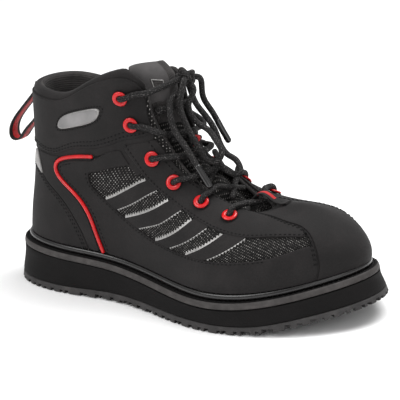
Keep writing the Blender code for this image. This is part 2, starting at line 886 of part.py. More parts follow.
def badges():
    station, level = BADGE_CENTRE
    wide = BADGE_LENGTH / 2 / station_scale(station, level)
    tall = BADGE_HEIGHT / 2 / level_scale(station, level)
    lean = 0.14 / wide * tall
    edge = []
    for k in range(16):
        turn = math.tau * k / 16
        s = wide * math.copysign(abs(math.cos(turn)) ** 0.8, math.cos(turn))
        t = tall * math.copysign(abs(math.sin(turn)) ** 0.8, math.sin(turn))
        edge.append((station + s + 0.02 * t / tall, level + t + lean * s / wide))
    both_sides("badge", edge, silver(), low=2 * GAP + OVERLAY, high=2 * GAP + 2 * OVERLAY)


def station_scale(station, level):
    near, far = surface(np.array([station - 0.05, station + 0.05]), level)
    return float(np.linalg.norm(far - near)) / 0.1


def level_scale(station, level):
    near, far = surface(station, np.array([level - 0.05, level + 0.05]))
    return float(np.linalg.norm(far - near)) / 0.1


def wedges():
    both_sides("heel_flash", WEDGE, silver(), low=2 * GAP + OVERLAY, high=2 * GAP + 1.7 * OVERLAY)


def piping():
    path = np.array(rounded(PIPING_PATH, steps=1))
    lift = GAP + PIPING_RADIUS
    for side, stations in (("outer", path[:, 0]), ("inner", TURN - path[:, 0])):
        points = [on_form(s, t, lift) for s, t in zip(stations, path[:, 1])]
        tube(f"piping_{side}", points, PIPING_RADIUS, red_gloss(), bevel=1)


def eyelet_frame(station, level):
    """Centre and outward direction of an eyelet that rests on the panel."""
    out = facing(station, level)
    base = on_form(station, level, 2 * GAP + OVERLAY)
    return base, out / np.linalg.norm(out)


def eyelets():
    ring = (EYELET_RADIUS + EYELET_HOLE) / 2
    wall = (EYELET_RADIUS - EYELET_HOLE) / 2
    for side, table in (("outer", EYELETS_OUTER), ("inner", EYELETS_INNER)):
        for k, (station, level, _, _) in enumerate(table, 1):
            base, out = eyelet_frame(station, level)
            bpy.ops.mesh.primitive_torus_add(
                major_segments=10, minor_segments=4, major_radius=ring, minor_radius=wall
            )
            thing = bpy.context.object
            thing.name = f"eyelet_{side}_{k}"
            for home in list(thing.users_collection):
                home.objects.unlink(thing)
            PART.objects.link(thing)
            low = min(v.co.z for v in thing.data.vertices)
            for v in thing.data.vertices:
                v.co.z = (v.co.z - low) * EYELET_HEIGHT / (2 * wall)
            turn = Vector(out).to_track_quat("Z", "Y").to_matrix().to_4x4()
            seat = Vector(base) + Vector(out) * EYELET_SEAT
            thing.matrix_world = Matrix.Translation(seat) @ turn
            thing.data.materials.append(red_gloss())
            thing.data.shade_smooth()


EYELET_SEAT = 0.0006

# Tongue rows from its root up: outer station, inner station, level of the flaps over it, crown
TONGUE = (
    (7.30, 8.75, 3.66, -0.0004),
    (6.60, 9.40, 3.70, 0.0006),
    (5.60, 10.40, 3.74, 0.0035),
    (4.80, 11.10, 3.76, 0.0060),
    (4.20, 11.65, 3.78, 0.0080),
    (3.80, 12.10, 3.78, 0.0090),
    (3.55, 12.40, 3.78, 0.0095),
    (3.38, 12.62, 3.78, 0.0095),
    (3.24, 12.78, 3.80, 0.0085),
)
# Rows above the throat, five points each from the outer to the inner side, as shares
TONGUE_TOP = (
    (
        (0.405, -0.245, 0.975),
        (0.432, -0.200, 0.985),
        (0.478, -0.020, 0.965),
        (0.437, 0.115, 0.950),
        (0.405, 0.185, 0.925),
    ),
    (
        (0.385, -0.225, 1.035),
        (0.405, -0.180, 1.040),
        (0.435, -0.020, 1.035),
        (0.405, 0.110, 1.010),
        (0.380, 0.170, 0.985),
    ),
)


THROAT_CLEARANCE = 0.0030
ROOT_CLEARANCE = 0.0018


def tongue_rows():
    rows = []
    for outer, inner, level, crown in TONGUE:
        edge_level = 4.0 if level > 3.7 else level + 0.12
        stations = np.array([outer, outer, inner, inner])
        levels = np.array([level, edge_level, edge_level, level])
        depth = thickness(stations, levels) + TONGUE_CLEARANCE
        depth[1:3] += THROAT_CLEARANCE
        depth += ROOT_CLEARANCE * max(0.0, min(1.0, outer - 4.6))
        four = np.array([on_form(s, t, -d) for s, t, d in zip(stations, levels, depth)])
        ahead = facing(stations[1], levels[1]) + facing(stations[2], levels[2])
        ahead = ahead / np.linalg.norm(ahead)
        middle = (four[1] + four[2]) / 2 + ahead * crown
        rows.append(np.array([four[0], four[1], middle, four[2], four[3]]))
    for row in TONGUE_TOP:
        points = []
        for length, width, height in row:
            x = float(length_at(length))
            z = float(ledge_height(x)) + height * UPPER_HEIGHT
            points.append((x, width * BALL_WIDTH, z))
        rows.append(np.array(points))
    return np.array(rows)


def tongue_surface(across, up):
    """The tongue's face: across from 0 at the outer side to 4, up in rows."""
    rows = tongue_rows()
    columns = spline(np.arange(len(rows), dtype=float), rows, up)
    return spline(np.arange(5, dtype=float), np.moveaxis(columns, 1, 0), across)


def tongue_grid():
    """The tongue's mesh corners: rows up, points across."""
    ups = np.linspace(0, len(TONGUE) + len(TONGUE_TOP) - 1, 17)
    return np.moveaxis(tongue_surface(np.linspace(0, 4, 7), ups), 0, 1)


def tongue():
    grid = tongue_grid()
    rows, count = grid.shape[:2]
    faces = []
    for i in range(rows - 1):
        for j in range(count - 1):
            low = i * count + j
            faces.append((low, low + 1, low + count + 1, low + count))
    mesh = bpy.data.meshes.new("tongue")
    mesh.from_pydata([tuple(map(float, p)) for p in grid.reshape(-1, 3)], [], faces)
    mesh.materials.append(lining())
    mesh.shade_smooth()
    thing = bpy.data.objects.new("tongue", mesh)
    PART.objects.link(thing)
    shell = thing.modifiers.new("thickness", "SOLIDIFY")
    shell.thickness = TONGUE_THICKNESS
    shell.offset = -1
    return thing


# Webbing loops: x and z along the strap, at a width station
WEBBING_THICKNESS = 0.0014
PULL_WIDTH = 0.012
PULL_PATH = (
    (-0.0302, 0.1490),
    (-0.0306, 0.1450),
    (-0.0345, 0.1395),
    (-0.0420, 0.1320),
    (-0.0510, 0.1230),
    (-0.0585, 0.1140),
    (-0.0612, 0.1070),
    (-0.0600, 0.1015),
    (-0.0555, 0.1005),
    (-0.0480, 0.1070),
    (-0.0400, 0.1150),
    (-0.0340, 0.1205),
    (-0.0312, 0.1240),
    (-0.0305, 0.1280),
)


def ribbon(name, points, across, width, look):
    """A flat strap along points; its width runs along the vector across."""
    points = np.array(points, float)
    across = np.array(across, float) / np.linalg.norm(across)
    way = np.gradient(points, axis=0)
    out = np.cross(way, across)
    out /= np.linalg.norm(out, axis=1, keepdims=True)
    half = across * width / 2
    thick = out * WEBBING_THICKNESS / 2
    sections = np.stack([points - half - thick, points + half - thick, points + half + thick,
                         points - half + thick], axis=1)
    count = len(points)
    faces = []
    for i in range(count - 1):
        for j in range(4):
            m = (j + 1) % 4
            faces.append((4 * i + j, 4 * i + m, 4 * i + 4 + m, 4 * i + 4 + j))
    faces.append((0, 1, 2, 3))
    last = 4 * count - 4
    faces.append((last, last + 1, last + 2, last + 3))
    return add_mesh(name, sections.reshape(-1, 3), faces, look)


def pull_loop():
    path = np.array(PULL_PATH)
    knots = np.arange(len(path), dtype=float)
    fine = spline(knots, path, np.linspace(0, len(path) - 1, 20))
    points = np.column_stack([fine[:, 0], np.zeros(len(fine)), fine[:, 1]])
    return ribbon("pull_loop", points, (0, 1, 0), PULL_WIDTH, webbing())




# Laces

LACE_RADIUS = 0.0022
LACE_ROOM = 0.0011
# Gap under a lace where it lies on the flap, and where it turns over the flap's edge
LACE_REST = 0.0005
LACE_TURN = 0.0009
LACE_STEP = 0.0050
# How far from an eyelet's middle the lace starts, and how far inside the throat it ends
LACE_START = 0.0088
LACE_END = 0.0064
KNOT_CENTRE = (0.1065, 0.000, 0.1635)
KNOT_SIZE = (0.0068, 0.0062, 0.0066)
# Strand rise over the tongue where it lies on another, as a share of its radius
OVER = 1.25
BAR_MIDDLE = ((0.1665, -0.0070, 0.0775), (0.1690, 0.0000, 0.0782), (0.1665, 0.0070, 0.0790))


def unit(vector):
    return vector / np.linalg.norm(vector)


def tongue_face():
    """Points and normals close together on the tongue's face, for laces to rest on."""
    grid = tongue_grid()
    for _ in range(2):
        between = (grid[1:] + grid[:-1]) / 2
        grid = np.insert(grid, range(1, len(grid)), between, axis=0)
        grid = np.swapaxes(grid, 0, 1)
        between = (grid[1:] + grid[:-1]) / 2
        grid = np.swapaxes(np.insert(grid, range(1, len(grid)), between, axis=0), 0, 1)
    normal = np.cross(np.gradient(grid, axis=1), np.gradient(grid, axis=0))
    normal /= np.linalg.norm(normal, axis=-1, keepdims=True)
    if normal[len(grid) // 2, grid.shape[1] // 2] @ np.array([0.7, 0.0, 0.7]) < 0:
        normal = -normal
    return grid.reshape(-1, 3), normal.reshape(-1, 3)


TONGUE_POINTS, TONGUE_NORMALS = tongue_face()


def lace_over(eyelet):
    """The first two points of a strand: on the flap beside its eyelet, and over the flap's edge."""
    station, level, edge_station, _ = eyelet
    base = eyelet_frame(station, level)[0]
    out = facing(edge_station, 3.9)
    edge_top = surface(edge_station, 4.0) + out * (2 * GAP + OVERLAY)
    reach = np.linalg.norm(edge_top - base)
    rise = LACE_RADIUS + LACE_TURN
    share = min(LACE_START / reach, 0.8)
    at = station + (edge_station - station) * share, level + (4.0 - level) * share
    first = on_form(*at, GAP + OVERLAY + LACE_RADIUS + LACE_REST)
    past = float(thickness(edge_station, 4.0)) / 2 + 0.002
    return [first, edge_top + (edge_top - base) / reach * past + out * rise]


def lace_under(eyelet, start):
    """The last point of a strand, just inside the throat on its way under the other flap."""
    edge = surface(eyelet[3], 4.0)
    return edge + unit(start - edge) * (LACE_END + float(thickness(eyelet[3], 4.0)) / 2)


def clear_of_tongue(point, extra=0.0):
    """The point moved away from the tongue until a lace there clears it."""
    reach = LACE_RADIUS + LACE_ROOM + extra
    for _ in range(4):
        gap = point - TONGUE_POINTS
        far = np.linalg.norm(gap, axis=1)
        k = int(far.argmin())
        ahead = unit(TONGUE_NORMALS[k])
        height = float(gap[k] @ ahead)
        if height >= reach:
            break
        point = point + ahead * (reach - height)
    return point


def strand(start, end, extra=0.0, count=3):
    """Points of a strand over the tongue, between two points and with them."""
    points, lifts = [start], [0.0]
    for share in np.linspace(0, 1, count + 2)[1:-1]:
        lifts.append(extra * 4 * share * (1 - share))
        points.append(clear_of_tongue(start + (end - start) * share, lifts[-1]))
    points.append(clear_of_tongue(end))
    lifts.append(0.0)
    filled = points[:1]
    for before, after, low, high in zip(points, points[1:], lifts, lifts[1:]):
        steps = int(np.linalg.norm(after - before) / LACE_STEP) + 1
        for share in np.arange(1, steps) / steps:
            between = before * (1 - share) + after * share
            filled.append(clear_of_tongue(between, low * (1 - share) + high * share))
        filled.append(after)
    return filled


def lace_crossings():
    """Five crossings, each of two joined strands, and the bar across the lowest eyelets."""
    pairs = list(zip(EYELETS_OUTER, EYELETS_INNER))
    for k, (upper_pair, lower_pair) in enumerate(zip(pairs, pairs[1:]), 1):
        runs = []
        for side, extra in ((0, OVER * LACE_RADIUS), (1, 0.0)):
            begin = lace_over(upper_pair[side])
            if k == 1:
                begin = [clear_of_tongue(lace_under(upper_pair[side], surface(lower_pair[1 - side][3], 4.0)))]
            end = lace_under(lower_pair[1 - side], begin[-1])
            runs.append(begin[:-1] + strand(begin[-1], end, extra))
        joined = tube(f"lace_crossing_{k}", runs[1], LACE_RADIUS, lace_cord())
        other = tube(f"strand_over_{k}", runs[0], LACE_RADIUS, lace_cord(), home=CUTTERS)
        boolean(joined, other, "UNION")
    begin, finish = lace_over(EYELETS_OUTER[5]), lace_over(EYELETS_INNER[5])
    bar = [*begin, *map(np.array, BAR_MIDDLE), *reversed(finish)]
    tube("lace_bar", bar, LACE_RADIUS, lace_cord())


def knot():
    """The knot with its two strands from the top of the throat."""
    points, faces = [], []
    rings, sides = 6, 10
    for i in range(1, rings):
        turn = math.pi * i / rings
        for j in range(sides):
            round_knot = math.tau * j / sides
            way = (math.sin(turn) * math.cos(round_knot), math.sin(turn) * math.sin(round_knot), math.cos(turn))
            points.append([m + c * s for m, c, s in zip(KNOT_CENTRE, way, KNOT_SIZE)])
    for i in range(rings - 2):
        for j in range(sides):
            m = (j + 1) % sides
            faces.append((i * sides + j, i * sides + m, (i + 1) * sides + m, (i + 1) * sides + j))
    faces.append(tuple(range(sides)))
    faces.append(tuple(range((rings - 2) * sides, (rings - 1) * sides)))
    thing = add_mesh("lace_knot", points, faces, lace_cord())
    knot_at = np.array(KNOT_CENTRE)
    for side, table in (("outer", EYELETS_OUTER), ("inner", EYELETS_INNER)):
        begin = lace_over(table[0])
        run = [begin[0]] + strand(begin[1], knot_at, count=3)[:-1] + [knot_at]
        rise = tube(f"rise_{side}", run, LACE_RADIUS, lace_cord(), home=CUTTERS)
        boolean(thing, rise, "UNION")


# Bow: points of each loop and end from the knot outward
LOOP_OUTER = (
    (0.1140, -0.0010, 0.1550),
    (0.1118, -0.0050, 0.1464),
    (0.1136, -0.0044, 0.1352),
    (0.1191, -0.0042, 0.1305),
    (0.1268, -0.0047, 0.1272),
    (0.1362, -0.0079, 0.1200),
    (0.1412, -0.0101, 0.1139),
    (0.1385, -0.0117, 0.1077),
    (0.1299, -0.0122, 0.1070),
    (0.1233, -0.0129, 0.1158),
    (0.1164, -0.0140, 0.1285),
    (0.1121, -0.0144, 0.1387),
    (0.1105, -0.0146, 0.1455),
    (0.1118, -0.0140, 0.1540),
    (0.1118, -0.0100, 0.1625),
)
LOOP_INNER = (
    (0.1067, 0.0038, 0.1545),
    (0.1107, 0.0040, 0.1440),
    (0.1164, 0.0040, 0.1373),
    (0.1217, 0.0050, 0.1306),
    (0.1255, 0.0060, 0.1231),
    (0.1283, 0.0065, 0.1150),
    (0.1338, 0.0056, 0.1081),
    (0.1472, 0.0010, 0.1034),
    (0.1507, -0.0027, 0.0971),
    (0.1423, -0.0047, 0.0980),
    (0.1353, -0.0046, 0.1040),
    (0.1300, -0.0026, 0.1108),
)
END_OUTER = (
    (0.1070, -0.0075, 0.1550),
    (0.1046, -0.0175, 0.1500),
    (0.1064, -0.0214, 0.1440),
    (0.1076, -0.0222, 0.1365),
    (0.1112, -0.0220, 0.1273),
    (0.1181, -0.0218, 0.1187),
    (0.1243, -0.0218, 0.1097),
    (0.1309, -0.0220, 0.1008),
    (0.1374, -0.0222, 0.0919),
)
END_INNER = (
    (0.1115, 0.0110, 0.1610),
    (0.1090, 0.0160, 0.1460),
    (0.1140, 0.0190, 0.1340),
    (0.1200, 0.0200, 0.1230),
    (0.1260, 0.0205, 0.1130),
)


def bow():
    tables = (LOOP_OUTER, LOOP_INNER, END_OUTER, END_INNER)
    names = ("bow_loop_outer", "bow_loop_inner", "lace_end_outer", "lace_end_inner")
    for name, table in zip(names, tables):
        path = np.array(table)
        seated = (0, -1) if name == "bow_loop_outer" else (0,)
        for k in seated:
            way = unit(path[k] - KNOT_CENTRE)
            seat = KNOT_CENTRE + way * (1 / np.linalg.norm(way / KNOT_SIZE) + 1.5 * GAP)
            path[k] = seat + way * 1.5 * LACE_RADIUS
            path = np.concatenate([path, [seat]] if k else [[seat], path])
        run = np.append(0, np.cumsum(np.linalg.norm(np.diff(path, axis=0), axis=1)))
        count = int(run[-1] / (3 * LACE_RADIUS)) + 1
        tube(name, spline(run, path, np.linspace(0, run[-1], count)), LACE_RADIUS, lace_cord(), bevel=2)


# Keepers: webbing arches that hold the lace on the tongue
KEEPER_WIDTH = 0.008
KEEPER_LIFT = 0.0085
KEEPER_ROWS = (5.26, 4.84)
THROAT_ARCH = (
    (0.1600, 0.0735),
    (0.1620, 0.0800),
    (0.1660, 0.0840),
    (0.1700, 0.0850),
    (0.1750, 0.0835),
    (0.1800, 0.0805),
)


def tongue_point(row, height):
    here, above = tongue_surface(np.array([2.0]), np.array([row, row + 0.05])).reshape(2, 3)
    up = unit(above - here)
    return here + np.cross(up, (0.0, -1.0, 0.0)) * height


def keepers():
    high, low = KEEPER_ROWS
    seat = WEBBING_THICKNESS / 2 + 2 * GAP
    path = [tongue_point(high + 0.02, seat)]
    for share, lift in ((0.05, 0.35), (0.2, 0.75), (0.5, 1.0), (0.8, 0.75), (0.95, 0.35)):
        path.append(tongue_point(high + (low - high) * share, KEEPER_LIFT * lift))
    path.append(tongue_point(low - 0.02, seat))
    ribbon("tongue_keeper", path, (0, 1, 0), KEEPER_WIDTH, webbing())
    path = [tongue_point(row, seat) for row in (1.75, 1.50)]
    path += [np.array((x, path[0][1] * 0.6, z)) for x, z in THROAT_ARCH]
    path += [on_form(8.0, level, 3 * GAP + OVERLAY + WEBBING_THICKNESS / 2) for level in (3.60, 3.44)]
    ribbon("throat_keeper", path, (0, 1, 0), KEEPER_WIDTH, webbing())


def main():
    start_clean()
    for make in (outsole, midsole, band, welt_bead, footbed, upper, tongue):
        make()
    for make in (toe_cap, counter, back_stay, collar_panels, quarters, heel_wings, eyestays, straps):
        make()
    for make in (badges, wedges, piping, eyelets, pull_loop, lace_crossings, knot, bow, keepers):
        make()


main()
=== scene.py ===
# %% [markdown]
# # A wading boot
# An angler wears this boot over stocking-foot waders. It laces high round the ankle, stands on a
# thick foam and rubber sole, and drains through the mesh at its sides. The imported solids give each
# piece its place and size. This lesson dresses them: it builds each piece again as a fine, smooth
# skin over the same form, and gives it the finish of its real material.

# %% Load the solid boot
import math

import bmesh
import bpy
import numpy as np
from mathutils import Matrix, Vector, geometry


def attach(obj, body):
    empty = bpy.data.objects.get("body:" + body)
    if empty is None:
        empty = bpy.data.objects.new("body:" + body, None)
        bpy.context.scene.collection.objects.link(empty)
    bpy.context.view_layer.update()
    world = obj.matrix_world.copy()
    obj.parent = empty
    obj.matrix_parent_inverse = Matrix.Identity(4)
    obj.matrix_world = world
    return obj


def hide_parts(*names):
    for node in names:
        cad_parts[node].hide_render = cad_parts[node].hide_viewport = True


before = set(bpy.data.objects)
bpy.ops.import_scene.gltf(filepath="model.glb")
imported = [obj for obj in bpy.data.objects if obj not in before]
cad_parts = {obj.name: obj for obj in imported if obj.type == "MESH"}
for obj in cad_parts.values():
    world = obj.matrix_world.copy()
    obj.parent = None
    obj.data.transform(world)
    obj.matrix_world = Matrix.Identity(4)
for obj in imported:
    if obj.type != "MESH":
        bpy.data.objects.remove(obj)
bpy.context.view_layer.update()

# %% [markdown]
# ## Camera, floor and light
# The boot was photographed with a long lens from above its outer toe, with the camera tipped a
# little to one side. A long lens keeps the heel and the toe close to the same scale. A big pale
# floor and wide soft lamps give the even light of a shop photograph, and small highlights on the
# gloss of the eyelets and the bead. The plain sRGB view keeps the red as strong as it is.

# %% Camera
AZIMUTH, ELEVATION, ROLL = (math.radians(a) for a in (36.07, 17.24, -3.68))
LENS_MM, SENSOR_MM = 160.9, 36.0
DISTANCE = 1.300
TARGET = Vector((0.11222, 0.0, 0.07157))

flat_back = Vector((math.sin(AZIMUTH), -math.cos(AZIMUTH), 0.0))
back = flat_back * math.cos(ELEVATION) + Vector((0.0, 0.0, math.sin(ELEVATION)))
level_right = Vector((math.cos(AZIMUTH), math.sin(AZIMUTH), 0.0))
level_up = back.cross(level_right)
right = level_right * math.cos(ROLL) + level_up * math.sin(ROLL)
up = level_up * math.cos(ROLL) - level_right * math.sin(ROLL)
lens = bpy.data.cameras.new("camera")
lens.lens, lens.sensor_width = LENS_MM, SENSOR_MM
camera = bpy.data.objects.new("camera", lens)
turned = Matrix((right, up, back)).transposed().to_4x4()
camera.matrix_world = Matrix.Translation(TARGET + back * DISTANCE) @ turned
bpy.context.scene.collection.objects.link(camera)
bpy.context.scene.camera = camera
bpy.context.scene.view_settings.view_transform = "Standard"
print("camera at", tuple(round(v, 3) for v in camera.matrix_world.translation))

# %% [markdown]
# ## Finishes
# Every finish is a Principled shader with small patterns made by nodes. One function turns a
# colour as seen on a screen to the linear colour that the renderer works in, and one adds a node
# with its settings and links. Pattern sizes are given in millimetres and turned to the scale that
# a texture node wants, which is repeats for each metre.

# %% Helpers for finishes
MM = 0.001


def linear(code):
    """An sRGB hex colour as linear red, green, blue and alpha."""
    parts = [int(code[i : i + 2], 16) / 255 for i in (1, 3, 5)]
    return (*(c / 12.92 if c <= 0.04045 else ((c + 0.055) / 1.055) ** 2.4 for c in parts), 1.0)


def add(tree, kind, links=None, **settings):
    """Adds a node, sets its settings, and fills its sockets with values or with other sockets."""
    made = tree.nodes.new(kind)
    for name, value in settings.items():
        setattr(made, name, value)
    for socket, value in (links or {}).items():
        if isinstance(value, bpy.types.NodeSocket):
            tree.links.new(value, made.inputs[socket])
        else:
            made.inputs[socket].default_value = value
    return made


def finish(name, **sockets):
    """A new material with values on its shader's own sockets. Returns material, tree, shader."""
    look = bpy.data.materials.new(name)
    look.use_nodes = True
    shader = look.node_tree.nodes["Principled BSDF"]
    for socket, value in sockets.items():
        shader.inputs[socket.replace("_", " ")].default_value = value
    return look, look.node_tree, shader


def ramp(tree, fac, stops):
    """A colour ramp from (place, hex colour) stops."""
    made = add(tree, "ShaderNodeValToRGB", {"Fac": fac})
    band = made.color_ramp
    while len(band.elements) < len(stops):
        band.elements.new(0.5)
    for stop, (place, code) in zip(band.elements, stops):
        stop.position, stop.color = place, linear(code)
    return made.outputs["Color"]


def noise(tree, size_mm, detail=3.0, roughness=0.55, **more):
    """Soft random spots about this many millimetres apart, the same from every side."""
    where = add(tree, "ShaderNodeTexCoord").outputs["Object"]
    links = {"Vector": where, "Scale": 1000 / size_mm, "Detail": detail, "Roughness": roughness}
    return add(tree, "ShaderNodeTexNoise", {**links, **more}).outputs["Fac"]


def raise_by(tree, shader, height, distance_mm, strength=1.0):
    """Turns a pattern to relief, this many millimetres deep."""
    links = {"Height": height, "Distance": distance_mm * MM, "Strength": strength}
    bump = add(tree, "ShaderNodeBump", links)
    tree.links.new(bump.outputs["Normal"], shader.inputs["Normal"])


def threads(tree, along_mm, across_mm, turn=0.0):
    """Two sets of threads at these spacings, laid by the piece's own flat map in metres."""
    flat = add(tree, "ShaderNodeTexCoord").outputs["UV"]
    turned = add(tree, "ShaderNodeMapping", {"Vector": flat, "Rotation": (0, 0, turn)}).outputs["Vector"]
    sets = []
    for direction, spacing in (("X", along_mm), ("Y", across_mm)):
        links = {"Vector": turned, "Scale": math.tau / 20 * 1000 / spacing}
        wave = add(tree, "ShaderNodeTexWave", links, bands_direction=direction)
        sets.append(wave.outputs["Fac"])
    return sets


def blend(tree, kind, a, b, amount=None):
    """Two values put together by a maths node."""
    links = {0: a, 1: b} if amount is None else {0: a, 1: b, 2: amount}
    return add(tree, "ShaderNodeMath", links, operation=kind).outputs[0]


# %% [markdown]
# ### Nubuck
# The panels are brushed synthetic nubuck. Its short nap drinks the light: a rough, dark grey with
# a faint sheen at grazing angles, mottled where fingers have laid the nap, with a fine tooth.

# %% Nubuck
nubuck, tree, shader = finish("nubuck", Roughness=0.75, Sheen_Weight=0.03, Sheen_Roughness=0.45,
                              Specular_IOR_Level=0.22)
mottle = noise(tree, 22, detail=4)
tooth = noise(tree, 1.1, detail=5, roughness=0.7)
shade = blend(tree, "MULTIPLY_ADD", tooth, 0.55, blend(tree, "MULTIPLY", mottle, 0.55))
shades = ((0.30, "#100f0f"), (0.52, "#181616"), (0.80, "#252222"))
tree.links.new(ramp(tree, shade, shades), shader.inputs["Base Color"])
raise_by(tree, shader, tooth, 0.22)

# %% [markdown]
# ### Drainage mesh
# The sides and the base of the tongue are open spacer mesh, black with pale flecks in its yarn.
# The real knit repeats about every millimetre. It is drawn a little coarser, at 1.9 mm, so that
# it shows at this size of picture.

# %% Drainage mesh
mesh_cloth, tree, shader = finish("mesh_cloth", Roughness=0.80, Specular_IOR_Level=0.25)
along, across = threads(tree, 1.9, 3.0, math.radians(38))
knit = blend(tree, "MULTIPLY", along, across)
patchy = blend(tree, "MULTIPLY_ADD", noise(tree, 2.2, detail=2), 1.1, -0.05)
lit = blend(tree, "MULTIPLY", patchy, knit)
shades = ((0.20, "#090808"), (0.38, "#45423f"), (0.60, "#a3a09d"))
tree.links.new(ramp(tree, lit, shades), shader.inputs["Base Color"])
raise_by(tree, shader, knit, 0.5)

# %% [markdown]
# ### Textile lining
# The collar and the tongue are lined with a dark brushed knit over foam.

# %% Textile lining
lining, tree, shader = finish("lining_textile", Roughness=0.90, Sheen_Weight=0.04, Specular_IOR_Level=0.25)
along, across = threads(tree, 1.6, 1.6)
loops = blend(tree, "MAXIMUM", along, across)
tree.links.new(ramp(tree, noise(tree, 14), ((0.3, "#2a2828"), (0.7, "#444140"))), shader.inputs["Base Color"])
raise_by(tree, shader, loops, 0.4)

# %% [markdown]
# ### Foam midsole, rubber outsole, rand and bead
# The midsole is moulded EVA foam with a fine spark-eroded tooth. The outsole and the rand, the
# strip that runs round above the foam, are carbon rubber, a touch greyer where they are scuffed.
# The bead is smoother rubber that catches a line of light. All of them are soft spots of a few
# shades with a fine tooth in relief, and so are the moulded and woven finishes below.

# %% Foam and rubber
def mottled(name, spot_mm, shades, tooth_mm=None, depth_mm=0.0, detail=3.0, tooth_detail=3.0, **sockets):
    """A finish of soft spots in these shades, with a tooth of that size and depth in relief."""
    look, tree, shader = finish(name, **sockets)
    tree.links.new(ramp(tree, noise(tree, spot_mm, detail), shades), shader.inputs["Base Color"])
    if tooth_mm:
        raise_by(tree, shader, noise(tree, tooth_mm, tooth_detail), depth_mm)
    return look


eva = mottled("moulded_eva", 30, ((0.3, "#0a0909"), (0.7, "#110f0f")), 1.4, 0.25,
              Roughness=0.72, IOR=1.5, Specular_IOR_Level=0.15)
rubber = mottled("carbon_rubber", 9, ((0.3, "#252323"), (0.55, "#312f2f"), (0.8, "#423f3e")), 1.6, 0.2,
                 detail=6, tooth_detail=4, Roughness=0.62, IOR=1.52, Specular_IOR_Level=0.35)
rand_rubber = mottled("rand_rubber", 6, ((0.3, "#2c2928"), (0.55, "#393635"), (0.8, "#494544")), 1.3, 0.25,
                      detail=6, tooth_detail=4, Roughness=0.66, IOR=1.52, Specular_IOR_Level=0.35)
bead_rubber = mottled("bead_rubber", 12, ((0.3, "#0e0d0d"), (0.7, "#181616")), 5, 0.12,
                      tooth_detail=2, Roughness=0.24, IOR=1.52)

# %% [markdown]
# ### Red gloss
# The eyelets and the piping are moulded in glossy red TPU. A clear coat gives the sharp highlight.

# %% Red gloss
red_gloss = mottled("moulded_red_tpu", 8, ((0.3, "#b0040c"), (0.7, "#ca0810")), 3, 0.05,
                    Roughness=0.34, Specular_IOR_Level=0.35, Coat_Weight=0.3, Coat_Roughness=0.06)

# %% [markdown]
# ### Reflective trim, thread and badge
# The toothed trim, the rim of the badge and the wedge at the heel are grey reflective film: tiny
# glass beads that give a flat silver. The badge's face is moulded, and the panel at the tongue's
# top is brushed. The seams are sewn with black bonded nylon thread.

# %% Reflective trim, thread and badge
silver = mottled("reflective_film", 1.2, ((0.3, "#7d7c7b"), (0.7, "#a3a19f")), 0.9, 0.08,
                 Roughness=0.42, Metallic=0.35)
thread = mottled("bonded_thread", 2.0, ((0.3, "#040404"), (0.7, "#0a0909")), 0.8, 0.05,
                 Roughness=0.75, Specular_IOR_Level=0.2)
badge_plate = mottled("moulded_grey_badge", 16, ((0.3, "#6c6b6b"), (0.7, "#868484")), 1.2, 0.04,
                      Roughness=0.45, Metallic=0.2)
brushed_panel = mottled("brushed_grey_panel", 9, ((0.3, "#353333"), (0.7, "#434040")), 1.1, 0.15,
                        tooth_detail=4, Roughness=0.8, Sheen_Weight=0.08)

# %% [markdown]
# ### Braided lace and woven webbing
# The lace is a round polyester braid. Its strands cross in small chevrons 1.7 mm long, and
# a few grey yarns fleck the black. The pull loop and the lace keepers are flat ribbed webbing
# with a red stripe woven down the middle.

# %% Lace and webbing
braid, tree, shader = finish("braided_polyester", Roughness=0.7, Specular_IOR_Level=0.3)
one, other = threads(tree, 1.7, 1.7, math.radians(45))
plait = blend(tree, "MAXIMUM", one, other)
fleck = blend(tree, "MULTIPLY_ADD", noise(tree, 0.9, detail=2), 1.2, -0.1)
lit = blend(tree, "MULTIPLY", fleck, plait)
shades = ((0.2, "#070606"), (0.52, "#1b1919"), (0.74, "#6b6867"))
tree.links.new(ramp(tree, lit, shades), shader.inputs["Base Color"])
raise_by(tree, shader, plait, 0.35)


def ribbed(name, shades, **sockets):
    """A flat webbing, ribbed across every 1.1 mm."""
    look, tree, shader = finish(name, **sockets)
    tree.links.new(ramp(tree, noise(tree, 2.4), shades), shader.inputs["Base Color"])
    raise_by(tree, shader, threads(tree, 1.1, 1.1)[0], 0.3)
    return look


webbing = ribbed("ribbed_webbing", ((0.3, "#131212"), (0.7, "#252323")), Roughness=0.72, Specular_IOR_Level=0.3)
red_webbing = ribbed("red_webbing", ((0.3, "#a00a12"), (0.7, "#c81018")), Roughness=0.6)
print("finishes", len(bpy.data.materials))

# %% [markdown]
# ### Floor and lamps
# A wide lamp from the upper left lights the side that shows, a small one fills the front, and one
# from behind and above draws the upper edges. The floor lies just under the lugs.

# %% Floor and lamps
FLOOR_SIZE, FLOOR_HEIGHT = 8.0, -0.0003
floor_look = mottled("pale_floor", 400, ((0.0, "#fbfbfb"), (1.0, "#fdfdfd")), Roughness=0.9)
bpy.ops.mesh.primitive_plane_add(size=FLOOR_SIZE, location=(0, 0, FLOOR_HEIGHT))
floor = bpy.context.object
floor.name = "floor"
floor.data.materials.append(floor_look)

